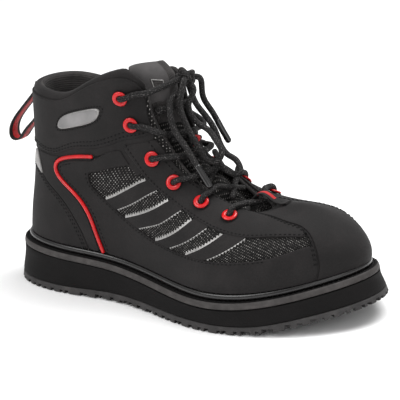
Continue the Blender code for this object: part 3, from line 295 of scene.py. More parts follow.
world = bpy.data.worlds.new("studio")
world.use_nodes = True
sky = world.node_tree.nodes["Background"]
sky.inputs["Color"].default_value = (1.0, 1.0, 1.0, 1.0)
sky.inputs["Strength"].default_value = 0.55
bpy.context.scene.world = world
LAMPS = (  # place, size in metres, power in watts
    ((-0.55, -1.30, 1.50), 1.3, 24.0),
    ((1.60, -0.90, 0.80), 1.1, 5.0),
    ((0.50, 0.55, 1.55), 1.0, 24.0),
)
for place, size, power in LAMPS:
    lamp = bpy.data.lights.new("lamp", "AREA")
    lamp.size, lamp.energy = size, power
    shone = bpy.data.objects.new("lamp", lamp)
    shone.location = place
    shone.rotation_euler = (TARGET - Vector(place)).to_track_quat("-Z", "Y").to_euler()
    bpy.context.scene.collection.objects.link(shone)
print("lamps", len(LAMPS))

# %% [markdown]
# ## The form of the boot
# A boot is made on a last, and every ring round the last changes smoothly. So the form is kept as
# five rings of a few measured places: the feather line at the foot, the wall, the cheek, the ridge
# and the edge of the opening. A spline joins them. A place on the boot is then a station, counted
# round the foot from 0 at the heel over the outer side to 8 at the toe and home at 16, and a level
# from 0 at the sole to 4 at the opening. These are the same rings that the solids were made with.

# %% Sizes and rings
# Driving sizes
LAST_LENGTH = 0.286
BALL_WIDTH = 0.107
UPPER_HEIGHT = 0.145
HEEL_SHARE = 0.14
GAP = 0.0003

# Sole
TREAD_THICKNESS = 0.0052
LUG_HEIGHT = 0.0024
BAND_THICKNESS = 0.0050
BAND_MARGIN = 0.0038
HEEL_FLARE = 0.0085
TOE_FLARE = 0.0112
FLARE_START = 0.66
FLARE_END = 1.0

# Upper
UPPER_INSET = 0.0025
WALL_THICKNESS = 0.0026
COLLAR_THICKNESS = 0.0085

# Along the foot: length share, rise of the tread, height of the ledge above the floor
PROFILE = (
    (-0.05, 0.0000, 0.0333), (0.00, 0.0000, 0.0328), (0.11, 0.0000, 0.0313), (0.185, 0.0000, 0.0302),
    (0.30, 0.0008, 0.0284), (0.44, 0.0008, 0.0247), (0.56, 0.0000, 0.0217), (0.70, 0.0000, 0.0208),
    (0.82, 0.0018, 0.0243), (0.92, 0.0077, 0.0305), (1.00, 0.0128, 0.0363), (1.05, 0.0165, 0.0402),
)

# Rings of the last. A row for each station round the foot: heel back, heel corner, heel side, waist,
# instep, ball, toe side, toe corner, toe tip. Length, outer width, inner width, height.
FEATHER = (
    (0.000, 0.000, 0.000, 0.0), (0.021, 0.210, 0.210, 0.0), (0.133, 0.360, 0.350, 0.0),
    (0.343, 0.360, 0.300, 0.0), (0.524, 0.450, 0.360, 0.0), (0.682, 0.535, 0.470, 0.0),
    (0.839, 0.430, 0.460, 0.0), (0.944, 0.220, 0.340, 0.0), (1.000, -0.060, 0.060, 0.0),
)
WALL = (
    (0.018, 0.000, 0.000, 0.17), (0.040, 0.195, 0.195, 0.17), (0.135, 0.345, 0.340, 0.17),
    (0.343, 0.350, 0.300, 0.17), (0.524, 0.435, 0.360, 0.16), (0.682, 0.520, 0.465, 0.16),
    (0.838, 0.420, 0.450, 0.14), (0.938, 0.210, 0.325, 0.11), (0.993, -0.060, 0.060, 0.10),
)
CHEEK = (
    (0.033, 0.000, 0.000, 0.36), (0.055, 0.180, 0.180, 0.36), (0.140, 0.325, 0.315, 0.35),
    (0.335, 0.350, 0.305, 0.33), (0.515, 0.405, 0.350, 0.29), (0.665, 0.460, 0.410, 0.27),
    (0.815, 0.370, 0.370, 0.28), (0.897, 0.180, 0.255, 0.26), (0.940, -0.045, 0.045, 0.24),
)
RIDGE = (
    (0.041, 0.000, 0.000, 0.57), (0.064, 0.178, 0.178, 0.57), (0.148, 0.305, 0.290, 0.55),
    (0.330, 0.330, 0.295, 0.52), (0.490, 0.310, 0.260, 0.45), (0.630, 0.280, 0.245, 0.395),
    (0.755, 0.205, 0.200, 0.352), (0.815, 0.095, 0.120, 0.350), (0.845, -0.010, 0.010, 0.362),
)

# The opening's edge, once round: station, length, width (outer side negative), height.
EDGE = (
    (0.00, 0.042, 0.000, 0.80), (1.00, 0.068, -0.178, 0.80), (1.50, 0.126, -0.290, 0.80),
    (2.00, 0.198, -0.320, 0.805), (2.40, 0.301, -0.341, 0.910), (2.75, 0.399, -0.341, 0.992),
    (3.00, 0.441, -0.299, 0.98), (3.15, 0.456, -0.252, 0.93), (3.30, 0.460, -0.238, 0.85),
    (3.50, 0.472, -0.234, 0.765), (3.75, 0.500, -0.224, 0.675), (4.10, 0.535, -0.215, 0.575),
    (4.50, 0.574, -0.196, 0.500), (4.90, 0.614, -0.178, 0.450), (5.30, 0.650, -0.159, 0.408),
    (5.90, 0.694, -0.136, 0.362), (6.90, 0.727, -0.084, 0.338), (8.00, 0.750, 0.000, 0.348),
    (9.10, 0.727, 0.065, 0.372), (10.10, 0.685, 0.098, 0.400), (10.70, 0.647, 0.121, 0.435),
    (11.10, 0.605, 0.131, 0.485), (11.50, 0.563, 0.136, 0.520), (11.90, 0.528, 0.136, 0.555),
    (12.25, 0.505, 0.136, 0.630), (12.50, 0.486, 0.145, 0.730), (12.70, 0.474, 0.150, 0.830),
    (12.85, 0.463, 0.164, 0.895), (13.00, 0.441, 0.205, 0.925), (13.25, 0.399, 0.265, 0.915),
    (13.60, 0.301, 0.308, 0.836), (14.00, 0.199, 0.304, 0.786), (14.50, 0.119, 0.271, 0.799),
    (15.00, 0.067, 0.173, 0.805),
)
TURN = 16.0

# %% Splines and the surface of the boot
def unit(vectors):
    """The vectors at length one."""
    return vectors / np.linalg.norm(vectors, axis=-1, keepdims=True)


def run_along(line):
    """Distance along a line to each of its points."""
    return np.append(0, np.cumsum(np.linalg.norm(np.diff(line, axis=0), axis=1)))


def spline(knots, values, at, period=None):
    """Natural cubic spline through the values, or a closed one where a period is given."""
    knots = np.asarray(knots, float)
    values = np.asarray(values, float)
    at = np.asarray(at, float)
    if period:
        knots = np.append(knots, knots[0] + period)
        values = np.concatenate([values, values[:1]])
        at = (at - knots[0]) % period + knots[0]
    count = len(knots)
    step = np.diff(knots)
    wide = (slice(None),) + (None,) * (values.ndim - 1)
    slope = np.diff(values, axis=0) / step[wide]
    system = np.zeros((count, count))
    target = np.zeros(values.shape)
    for i in range(1, count - 1):
        system[i, i - 1 : i + 2] = step[i - 1], 2 * (step[i - 1] + step[i]), step[i]
        target[i] = 6 * (slope[i] - slope[i - 1])
    if period:
        system[0, [0, 1, count - 2]] = 2 * (step[-1] + step[0]), step[0], step[-1]
        target[0] = 6 * (slope[0] - slope[-1])
        system[-1, [0, -1]] = -1, 1
    else:
        system[0, 0] = system[-1, -1] = 1
    curve = np.linalg.solve(system, target.reshape(count, -1)).reshape(values.shape)
    low = np.clip(np.searchsorted(knots, at, side="right") - 1, 0, count - 2)
    wide = (slice(None),) * at.ndim + (None,) * (values.ndim - 1)
    b = ((at - knots[low]) / step[low])[wide]
    a = 1 - b
    bend = (a**3 - a) * curve[low] + (b**3 - b) * curve[low + 1]
    return a * values[low] + b * values[low + 1] + bend * (step[low][wide] ** 2) / 6


def length_at(share):
    return (np.asarray(share, float) - HEEL_SHARE) * LAST_LENGTH


def along(column, x):
    """A column of PROFILE at length x, held at its end values."""
    rows = np.array(PROFILE)
    ends = length_at(rows[[0, -1], 0])
    return spline(length_at(rows[:, 0]), rows[:, column], np.clip(x, *ends))


def tread_height(x):
    return np.maximum(along(1, x), 0.0)


def ledge_height(x):
    return along(2, x)


def once_round(rows):
    """Stations and points of a ring, from the heel back round the outer side and home."""
    rows = np.array(rows)
    outer = np.column_stack([length_at(rows[:, 0]), -rows[:, 1] * BALL_WIDTH, rows[:, 3]])
    inner = np.column_stack([length_at(rows[:, 0]), rows[:, 2] * BALL_WIDTH, rows[:, 3]])
    tip = (outer[-1:] + inner[-1:]) / 2
    points = np.concatenate([outer[:-1], tip, inner[1:-1][::-1]])
    return np.arange(len(points), dtype=float), points


def edge_round():
    rows = np.array(EDGE)
    points = np.column_stack([length_at(rows[:, 1]), rows[:, 2] * BALL_WIDTH, rows[:, 3]])
    return rows[:, 0], points


def run_of(station):
    """Distance round the feather outline at a station, so that all rings share its spacing."""
    stations, points = once_round(FEATHER)
    closed = np.concatenate([points, points[:1]])
    run = run_along(closed[:, :2])
    return np.interp(station, np.append(stations, TURN), run)


def ring_points(ring, station):
    stations, points = ring
    placed = spline(run_of(stations), points, run_of(np.mod(station, TURN)), run_of(TURN))
    placed[..., 2] = placed[..., 2] * UPPER_HEIGHT + ledge_height(placed[..., 0]) + GAP
    return placed


def outline(margin, station):
    """The feather outline at these stations, grown sideways by the margin."""
    step = 0.01
    ring = once_round(FEATHER)
    here = ring_points(ring, station)
    way = unit((ring_points(ring, station + step) - ring_points(ring, station - step))[..., :2])
    here[..., 0] += way[..., 1] * margin
    here[..., 1] -= way[..., 0] * margin
    return here


def surface(station, level):
    """The upper's outer face. Level 0 is at the feather, 4 at the opening's edge."""
    station, level = np.broadcast_arrays(np.asarray(station, float), np.asarray(level, float))
    rings = [outline(-UPPER_INSET, station)]
    rings += [ring_points(once_round(rows), station) for rows in (WALL, CHEEK, RIDGE)]
    rings.append(ring_points(edge_round(), station))
    rings = np.stack(rings)
    count = len(rings)
    system = np.eye(count)
    target = np.zeros(rings.shape)
    for i in range(1, count - 1):
        system[i, i - 1 : i + 2] = 1, 4, 1
        target[i] = 6 * (rings[i + 1] - 2 * rings[i] + rings[i - 1])
    curve = np.linalg.solve(system, target.reshape(count, -1)).reshape(rings.shape)
    low = np.clip(np.floor(level).astype(int), 0, count - 2)

    def pick(stack, row):
        return np.take_along_axis(stack, row[None, ..., None], axis=0)[0]

    b = (level - low)[..., None]
    a = 1 - b
    bend = (a**3 - a) * pick(curve, low) + (b**3 - b) * pick(curve, low + 1)
    return a * pick(rings, low) + b * pick(rings, low + 1) + bend / 6


def facing(station, level):
    """Unit normal of the upper's outer face, pointing out."""
    step = 0.02
    station, level = np.broadcast_arrays(np.asarray(station, float), np.asarray(level, float))
    round_foot = surface(station + step, level) - surface(station - step, level)
    high = np.minimum(level + step, 4)
    low = np.maximum(level - step, 0)
    return unit(np.cross(round_foot, surface(station, high) - surface(station, low)))


def thickness(station, level):
    """Wall thickness: one layer, thickening into the padded collar round the ankle."""
    station = np.mod(station, TURN)
    round_back = np.minimum(station, TURN - station)
    across = np.clip((3.05 - round_back) / 0.35, 0, 1)
    up = np.clip((level - 3.0) / 0.6, 0, 1)
    pad = (across * across * (3 - 2 * across)) * (up * up * (3 - 2 * up))
    return WALL_THICKNESS + (COLLAR_THICKNESS - WALL_THICKNESS) * pad


def offset(station, level, distance):
    return surface(station, level) + facing(station, level) * np.asarray(distance)[..., None]


print("opening, highest point", round(float(surface(np.linspace(0, TURN, 200), 4.0)[:, 2].max()), 4))

# %% Outlines of the panels
# Panels: closed outlines of (station, level) on the outer side; the inner side mirrors them.
TOE_CAP_EDGE = (
    (6.84, 0.22), (6.92, 0.90), (6.96, 1.60), (6.97, 1.95), (6.90, 2.22), (6.68, 2.48), (6.42, 2.98),
    (6.24, 3.40), (6.20, 3.86),
)
COUNTER_EDGE = (
    (2.62, 0.22), (2.54, 0.75), (2.42, 1.25), (2.24, 1.68), (2.02, 1.95), (1.54, 2.25), (0.70, 2.40),
)
WINDOW_EDGE = (
    (6.50, 1.50), (5.94, 1.34), (5.30, 1.27), (4.70, 1.26), (4.20, 1.28), (3.75, 1.34), (3.30, 1.60),
    (2.98, 1.97), (2.80, 2.40), (2.78, 2.68),
)
EYESTAY_LOW = (
    (3.24, 3.33), (3.48, 3.26), (3.78, 3.08), (4.26, 2.82), (4.76, 2.58), (5.32, 2.30), (5.72, 2.12),
    (6.14, 2.03), (6.88, 1.86),
)
COLLAR_LOW = (
    (0.60, 2.62), (1.52, 2.78), (2.14, 2.82), (2.44, 3.03), (2.78, 3.12), (3.16, 3.36), (3.42, 3.62),
    (3.58, 3.88),
)
PIPING_PATH = (
    (2.80, 3.02), (2.66, 2.98), (2.44, 2.89), (2.28, 2.77), (2.19, 2.60), (2.20, 2.40), (2.30, 2.20),
    (2.44, 2.00), (2.59, 1.70), (2.70, 1.28), (2.78, 0.70), (2.84, 0.25),
)
# Side straps: the top corner under the eyestay and the bottom corner at the window's edge, rear line first
STRAPS = (
    ((3.78, 3.04), (2.99, 2.00), (4.00, 2.92), (3.16, 1.77)),
    ((4.26, 2.80), (3.30, 1.63), (4.52, 2.66), (3.54, 1.46)),
    ((4.76, 2.54), (3.88, 1.33), (5.04, 2.40), (4.20, 1.31)),
    ((5.32, 2.26), (4.58, 1.30), (5.70, 2.10), (5.00, 1.30)),
)
WEDGE = ((1.30, 2.33), (1.46, 2.30), (1.80, 2.16), (1.66, 2.42), (1.50, 2.68), (1.40, 2.72))
OVERLAY = 0.0012
PIPING_RADIUS = 0.0014

# Eyelets from the top down: station, level, and the stations where the opening's edge is passed by
# the strand that lies over the flap and by the one that comes from under it
EYELETS = {"outer": (
    (2.92, 3.78, 3.18, 3.36), (3.20, 3.62, 3.62, 3.42), (3.74, 3.55, 3.97, 3.78), (4.26, 3.38, 4.44, 4.24),
    (4.88, 3.07, 4.98, 4.78), (5.44, 2.84, 5.80, 5.50),
), "inner": (
    (13.08, 3.72, 12.84, 12.66),
    (12.80, 3.56, 12.40, 12.60),
    (12.28, 3.50, 12.04, 12.24),
    (11.74, 3.40, 11.58, 11.78),
    (11.12, 3.14, 11.02, 11.24),
    (10.56, 2.90, 10.24, 10.50),
)}
EYELET_RADIUS = 0.0056
EYELET_HOLE = 0.0023
TONGUE_THICKNESS = 0.0042
TONGUE_CLEARANCE = 0.0012
SEAM_S = 0.018
SEAM_T = 0.02
PIPING_SEAM = 0.0026
PANEL_SEAM = 0.0008
LEVEL_STEP, STATION_STEP = 0.034, 0.058  # metres, on average, for one level and one station
SIDES = ("outer", "inner")


def rounded(edge, steps):
    """Smooths a run of outline points with extra points on a spline through them."""
    edge = np.array(edge)
    knots = run_along(edge)
    at = np.concatenate([np.linspace(a, b, steps, endpoint=False) for a, b in zip(knots, knots[1:])])
    return [tuple(p) for p in spline(knots, edge, np.append(at, knots[-1]))]


def beside(edge, distance):
    """The run moved sideways over the form by a distance in metres, to the right of its way."""
    scale = np.array([STATION_STEP, LEVEL_STEP])
    edge = np.array(edge) * scale
    way = unit(np.gradient(edge, axis=0))
    moved = edge + np.column_stack([way[:, 1], -way[:, 0]]) * distance
    return [tuple(p) for p in moved / scale]


def shifted(edge, station=0.0, level=0.0):
    return [(s + station, t + level) for s, t in edge]


def mirrored(edge):
    return [(TURN - s, t) for s, t in edge]


def on_side(edge, side):
    """An outline or run of the outer side, as it is there or mirrored to the inner side."""
    return mirrored(edge) if side == "inner" else edge


# The bead, and the gap that the panels' lower edges keep above it
BEAD_WIDTH = 0.0029
BEAD_HEIGHT = 0.0046
HEM_GAP = 0.0007


def hem_level(station, height):
    """The level at which the upper's face is this high above the ledge, near its foot."""
    station = np.asarray(station, float)
    low = 0.25
    probe = surface(station, low)
    return low * height / (probe[..., 2] - ledge_height(probe[..., 0]))


def hem(first, last, steps=0):
    """A panel's lower edge, just above the bead, from one station to another."""
    steps = steps or max(2, int(abs(last - first) / 0.45) + 1)
    stations = np.linspace(first, last, steps)
    return list(zip(stations, hem_level(stations, BEAD_HEIGHT + HEM_GAP)))


# %% [markdown]
# ## Making a piece
# Two makers do most of the work. One turns a form, which is points, faces and a flat map, to a
# smooth object that rides on the boot and stands for its solid. The other sweeps a round cord
# along a smooth line. A third cuts a panel: it fills an outline drawn in stations and levels with
# fine triangles, lays it on the boot, and rolls its edge down, as a folded edge of nubuck does.

# %% Makers
def raw_mesh(name, points, faces):
    mesh = bpy.data.meshes.new(name)
    mesh.from_pydata([tuple(map(float, p)) for p in points], [], [tuple(map(int, f)) for f in faces])
    return mesh


def mend(mesh, merge=0.0):
    """Turns the faces outward or, where a distance is given, joins points that close together."""
    shape = bmesh.new()
    shape.from_mesh(mesh)
    if merge:
        bmesh.ops.remove_doubles(shape, verts=shape.verts, dist=merge)
    else:
        bmesh.ops.recalc_face_normals(shape, faces=shape.faces)
    shape.to_mesh(mesh)
    shape.free()


def make(name, form, look, node=None, sharp=60):
    """A smooth object from a form that rides on the boot, and stands for the node if one is named."""
    points, faces, flat = form
    mesh = raw_mesh(name, points, faces)
    for each in look if isinstance(look, list) else [look]:
        mesh.materials.append(each)
    order = np.empty(len(mesh.loops), dtype=np.int32)
    mesh.loops.foreach_get("vertex_index", order)
    layer = mesh.uv_layers.new(name="flat")
    layer.data.foreach_set("uv", np.asarray(flat, dtype=np.float32)[order].ravel())
    mend(mesh)
    mesh.shade_smooth()
    if sharp:
        mesh.set_sharp_from_angle(angle=math.radians(sharp))
    piece = bpy.data.objects.new(name, mesh)
    bpy.context.scene.collection.objects.link(piece)
    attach(piece, "root")
    if node:
        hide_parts(node)
    return piece


def grid_faces(rows, columns, closed=False, looped=False):
    """Faces of a grid of points. closed joins the last column to the first, looped the last row."""
    faces = []
    for i in range(rows if looped else rows - 1):
        for j in range(columns if closed else columns - 1):
            here, above, k = i * columns, (i + 1) % rows * columns, (j + 1) % columns
            faces.append((here + j, here + k, above + k, above + j))
    return faces


def flat_map(along, across):
    """A flat map of a grid of points from distances along its rows and across its columns."""
    return np.stack(np.broadcast_arrays(np.asarray(along)[:, None], np.asarray(across)[None]), axis=-1).reshape(-1, 2)


def smooth_line(points, step):
    """Points this far apart on a smooth curve through the given ones."""
    points = np.asarray(points, float)
    run = run_along(points)
    count = max(3, int(round(run[-1] / step)) + 1)
    fine = spline(run, points, np.linspace(0, run[-1], 4 * count))
    run = run_along(fine)
    at = np.linspace(0, run[-1], count)
    return np.column_stack([np.interp(at, run, fine[:, k]) for k in range(3)])


def frames(line):
    """Directions along and across a line, turned as little as possible from point to point."""
    way = unit(np.gradient(line, axis=0))
    side = np.cross(way[0], (0.0, 0.0, 1.0) if abs(way[0][2]) < 0.9 else (1.0, 0.0, 0.0))
    sides = []
    for ahead in way:
        side = unit(side - ahead * (side @ ahead))
        sides.append(side)
    sides = np.array(sides)
    return way, sides, np.cross(way, sides)


# Rings that round the end of a cord: radius, and reach past the end, as shares of the cord's radius
DOME = np.array(((0.94, 0.35), (0.72, 0.70), (0.36, 0.94)))
DOME_RUN = 0.3


def cord_mesh(line, radius, around=14, cap=True):
    """The form of a round cord, with domed ends where it is capped."""
    way, side, other = frames(line)
    run, grow = run_along(line), np.full(len(line), radius)
    if cap:
        small, out = DOME[:, 0] * radius, DOME[:, 1:] * radius
        line = np.concatenate([line[0] - way[0] * out[::-1], line, line[-1] + way[-1] * out])
        grow = np.concatenate([small[::-1], grow, small])
        side, other = (np.concatenate([d[:1], d[:1], d[:1], d, d[-1:], d[-1:], d[-1:]]) for d in (side, other))
        past = DOME_RUN * radius * np.arange(1, 4)
        run = np.concatenate([run[0] - past[::-1], run, run[-1] + past])
    turn = np.linspace(0, math.tau, around, endpoint=False)
    round_it = side[:, None] * np.cos(turn)[:, None] + other[:, None] * np.sin(turn)[:, None]
    points = (line[:, None] + round_it * grow[:, None, None]).reshape(-1, 3)
    faces = grid_faces(len(line), around, closed=True)
    faces += [tuple(range(around)), tuple(range(len(points) - around, len(points)))]
    return points, faces, np.column_stack([np.repeat(run, around), np.tile(turn * radius, len(line))])


def joined(forms):
    """Several forms put together."""
    points, faces, flat, base = [], [], [], 0
    for some, others, mapped in forms:
        points.append(some)
        faces += [tuple(k + base for k in face) for face in others]
        flat.append(mapped)
        base += len(some)
    return np.concatenate(points), faces, np.concatenate(flat)


def even_loop(edge, step=0.0015, soften=2):
    """A closed outline of (station, level) with even steps in metres and its corners softened."""
    loop = np.array(edge, float) * (STATION_STEP, LEVEL_STEP)
    loop = np.concatenate([loop, loop[:1]])
    run = run_along(loop)
    at = np.linspace(0, run[-1], max(12, int(run[-1] / step)), endpoint=False)
    even = np.column_stack([np.interp(at, run, loop[:, k]) for k in range(2)])
    for _ in range(soften):
        even = even * 0.5 + (np.roll(even, 1, axis=0) + np.roll(even, -1, axis=0)) * 0.25
    return even


def inset(loop, distance):
    """The loop moved inward by a distance in metres."""
    area = 0.5 * np.sum(loop[:, 0] * np.roll(loop[:, 1], -1) - np.roll(loop[:, 0], -1) * loop[:, 1])
    way = np.roll(loop, -1, axis=0) - np.roll(loop, 1, axis=0)
    way /= np.maximum(np.linalg.norm(way, axis=1, keepdims=True), 1e-9)
    return loop + np.column_stack([-way[:, 1], way[:, 0]]) * distance * math.copysign(1, area)


def within(points, loop):
    """Which of the points lie inside the closed loop."""
    x, y = points[:, 0][:, None], points[:, 1][:, None]
    ax, ay = loop[:, 0][None], loop[:, 1][None]
    bx, by = np.roll(loop[:, 0], -1)[None], np.roll(loop[:, 1], -1)[None]
    crosses = ((ay > y) != (by > y)) & (x < (bx - ax) * (y - ay) / np.where(by == ay, 1e-12, by - ay) + ax)
    return crosses.sum(axis=1) % 2 == 1


# A panel's rolled edge: distance in from the outline, and height as a share of the panel's
EDGE_ROLL = ((0.0, -0.15), (0.0, 0.45), (0.00018, 0.80), (0.00050, 0.97), (0.00100, 1.0))
CELL = 0.0026


def panel_mesh(edge, low, high):
    """The form of a panel with a rolled edge, laid on the boot between two heights above its face."""
    outer = even_loop(edge)
    rings = [inset(outer, distance) for distance, _ in EDGE_ROLL]
    inner = rings[-1]
    lowest, highest = inner.min(axis=0), inner.max(axis=0)
    grid = np.meshgrid(*(np.arange(least, most, CELL) for least, most in zip(lowest, highest)))
    inside = np.column_stack([axis.ravel() for axis in grid])
    inside = inside[within(inside, inner)]
    if len(inside):
        near = np.min(np.linalg.norm(inside[:, None] - inner[None], axis=2), axis=1)
        inside = inside[near > 0.45 * CELL]
    count = len(inner)
    filled = np.concatenate([inner, inside])
    edges = [(i, (i + 1) % count) for i in range(count)]
    spots, _, corners, origin = geometry.delaunay_2d_cdt([Vector(p) for p in filled], edges, [], 1, 1e-7, True)[:4]
    place_of = {old: new for new, olds in enumerate(origin) for old in olds}
    flat, corners = np.array([(p.x, p.y) for p in spots]), np.array(corners)
    faces = [tuple(face) for face in corners[within(flat[corners].mean(axis=1), inner)].tolist()]
    base = len(flat)
    height = [np.full(base, high)] + [np.full(count, low + (high - low) * share) for _, share in EDGE_ROLL[:-1]]
    flat, height = np.concatenate([flat, *rings[:-1]]), np.concatenate(height)
    index = [[base + k * count + i for i in range(count)] for k in range(len(rings) - 1)]
    index.append([place_of.get(i, 0) for i in range(count)])
    for under, over in zip(index, index[1:]):
        for i in range(count):
            j = (i + 1) % count
            loop = list(dict.fromkeys((under[i], under[j], over[j], over[i])))
            if len(loop) > 2:
                faces.append(tuple(loop))
    station, level = flat[:, 0] / STATION_STEP, np.clip(flat[:, 1] / LEVEL_STEP, 0, 4)
    return offset(station, level, height), faces, flat


PANEL_HIGH = OVERLAY + GAP


def panel(name, edge, look=nubuck, low=0.0, high=PANEL_HIGH):
    """One panel, standing for the solid of its name."""
    make(name + "_skin", panel_mesh(edge, low, high), look, name)


def both_sides(name, edge, look=nubuck, **more):
    for side in SIDES:
        panel(f"{name}_{side}", on_side(edge, side), look, **more)


def added_panels(name, edge, look, low, high):
    """A panel on each side that stands for no solid."""
    for side in SIDES:
        make(f"{name}_{side}", panel_mesh(on_side(edge, side), low, high), look)


def run_on(path, step):
    """Evenly spaced places in (station, level) along a run on the boot."""
    path = np.asarray(path, float)
    at = np.linspace(0, len(path) - 1, 60 * len(path))
    fine = np.column_stack([np.interp(at, np.arange(len(path)), path[:, k]) for k in range(2)])
    run = run_along(surface(fine[:, 0], np.clip(fine[:, 1], 0, 4)))
    at = np.arange(step / 2, run[-1], step)
    return np.column_stack([np.interp(at, run, fine[:, k]) for k in range(2)])


# One stitch from end to end: share of its length, and its radius and lift as shares of its radius
STITCH = ((-0.5, 0.25, -0.6), (-0.3, 0.9, 0.0), (0.0, 1.0, 0.25), (0.3, 0.9, 0.0), (0.5, 0.25, -0.6))
STITCH_SIDES, STITCH_RADIUS = 6, 0.00042


def stitch_forms(path, pitch, length):
    """Small rounded stitches in a row along a run, sunk a little into what they sew."""
    station, level = run_on(path, pitch).T
    if len(station) < 2:
        return []
    spots = surface(station, level)
    turn = np.linspace(0, math.tau, STITCH_SIDES, endpoint=False)
    count = len(STITCH) * STITCH_SIDES
    faces = grid_faces(len(STITCH), STITCH_SIDES, closed=True)
    faces += [tuple(range(STITCH_SIDES)), tuple(range(count - STITCH_SIDES, count))]
    forms = []
    for spot, ahead, normal in zip(spots, unit(np.gradient(spots, axis=0)), facing(station, level)):
        spot = spot + normal * PANEL_HIGH
        round_it = np.outer(np.cos(turn), np.cross(normal, ahead)) + np.outer(np.sin(turn), normal)
        rings = [spot + ahead * share * length + (normal * lift + round_it * grow) * STITCH_RADIUS
                 for share, grow, lift in STITCH]
        forms.append((np.concatenate(rings), faces, np.zeros((count, 2))))
    return forms


def stitches(name, runs, pitch=0.0032, length=0.0022):
    forms = [form for path in runs for form in stitch_forms(path, pitch, length)]
    make(name, joined(forms), thread)
    print(name, "stitches", len(forms))


FILM, TOOTH_TUCK, TOOTH_PITCH = 0.0004, 0.0012, 0.0025


def teeth_form(start, end, toward, low, base, tall):
    """A pinked strip along a straight run: a narrow band whose far edge is cut to teeth."""
    station, level = run_on([start, end], TOOTH_PITCH / 2).T
    spots, out = surface(station, level), facing(station, level)
    aim = np.cross(out, unit(np.gradient(spots, axis=0)))
    if aim[0] @ (surface(*toward) - spots[0]) < 0:
        aim = -aim
    reach = np.where(np.arange(len(spots)) % 2, tall, base)[:, None]
    section = ((-TOOTH_TUCK, 0.0), (-TOOTH_TUCK, FILM), (0.85 * reach, FILM), (reach, 0.0001), (reach, -0.0003))
    points = np.concatenate([spots + aim * far + out * (low + lift) for far, lift in section])
    return points, grid_faces(len(section), len(spots)), np.zeros((len(points), 2))

# %% [markdown]
# ## The lace
# The lace crosses the tongue six times and ties in a bow whose loops and ends hang down over the
# crossings. The bow is free cord, so its routes come first: the solids have the same points. The
# cord is a braid 4.4 mm thick.

# %% The bow
LACE_RADIUS = 0.0022
KNOT_CENTRE = np.array((0.1065, 0.000, 0.1635))
KNOT_SIZE = np.array((0.0068, 0.0062, 0.0066))
BOW = {
    "bow_loop_outer": (
        (111.2, -0.6, 158.2), (113.4, -0.9, 155.7), (111.8, -5.0, 146.4), (113.6, -4.4, 135.2),
        (119.1, -4.2, 130.5), (126.8, -4.7, 127.2), (136.2, -7.9, 120.0), (141.2, -10.1, 113.9),
        (138.5, -11.7, 107.7), (129.9, -12.2, 107.0), (123.3, -12.9, 115.8), (116.4, -14.0, 128.5),
        (112.1, -14.4, 138.7), (110.5, -14.6, 145.5), (111.8, -14.0, 154.0), (111.2, -8.9, 162.6),
        (109.7, -6.0, 162.9),
    ),
    "bow_loop_inner": (
        (106.6, 2.7, 157.1), (106.7, 4.0, 154.0), (110.7, 4.0, 144.0), (116.4, 4.0, 137.3),
        (121.7, 5.0, 130.6), (125.5, 6.0, 123.1), (128.3, 6.5, 115.0), (133.8, 5.6, 108.1),
        (147.2, 1.0, 103.4), (150.7, -2.7, 97.1), (142.3, -4.7, 98.0), (135.3, -4.6, 104.0),
        (130.0, -2.6, 110.8),
    ),
    "lace_end_outer": (
        (106.8, -4.5, 158.4), (106.9, -6.7, 155.9), (104.6, -17.5, 150.0), (106.4, -21.4, 144.0),
        (107.6, -22.2, 136.5), (111.2, -22.0, 127.3), (118.1, -21.8, 118.7), (124.3, -21.8, 109.7),
        (130.9, -22.0, 100.8), (137.4, -22.2, 91.9),
    ),
    "lace_end_inner": (
        (109.2, 6.0, 162.1), (110.6, 9.0, 161.5), (109.0, 16.0, 146.0), (114.0, 19.0, 134.0),
        (120.0, 20.0, 123.0), (126.0, 20.5, 113.0),
    ),
}


def millimetres(points):
    return np.array(points, float) * MM


CORD_STEP = 0.0012
for name, route in BOW.items():
    line = smooth_line(millimetres(route), CORD_STEP)
    piece = make(name + "_braid", cord_mesh(line, LACE_RADIUS), braid, name)
    long = float(run_along(line)[-1])
    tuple(line[0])
    print(name, "is", round(long * 1000), "mm long")

# %% [markdown]
# ### Knot and crossings
# The knot is a closed winding of the same braid, drawn tight. Each strand of a
# crossing starts under the flap in its eyelet, comes up through the ring, turns over the flap's
# edge, crosses the tongue and dives under the other flap.

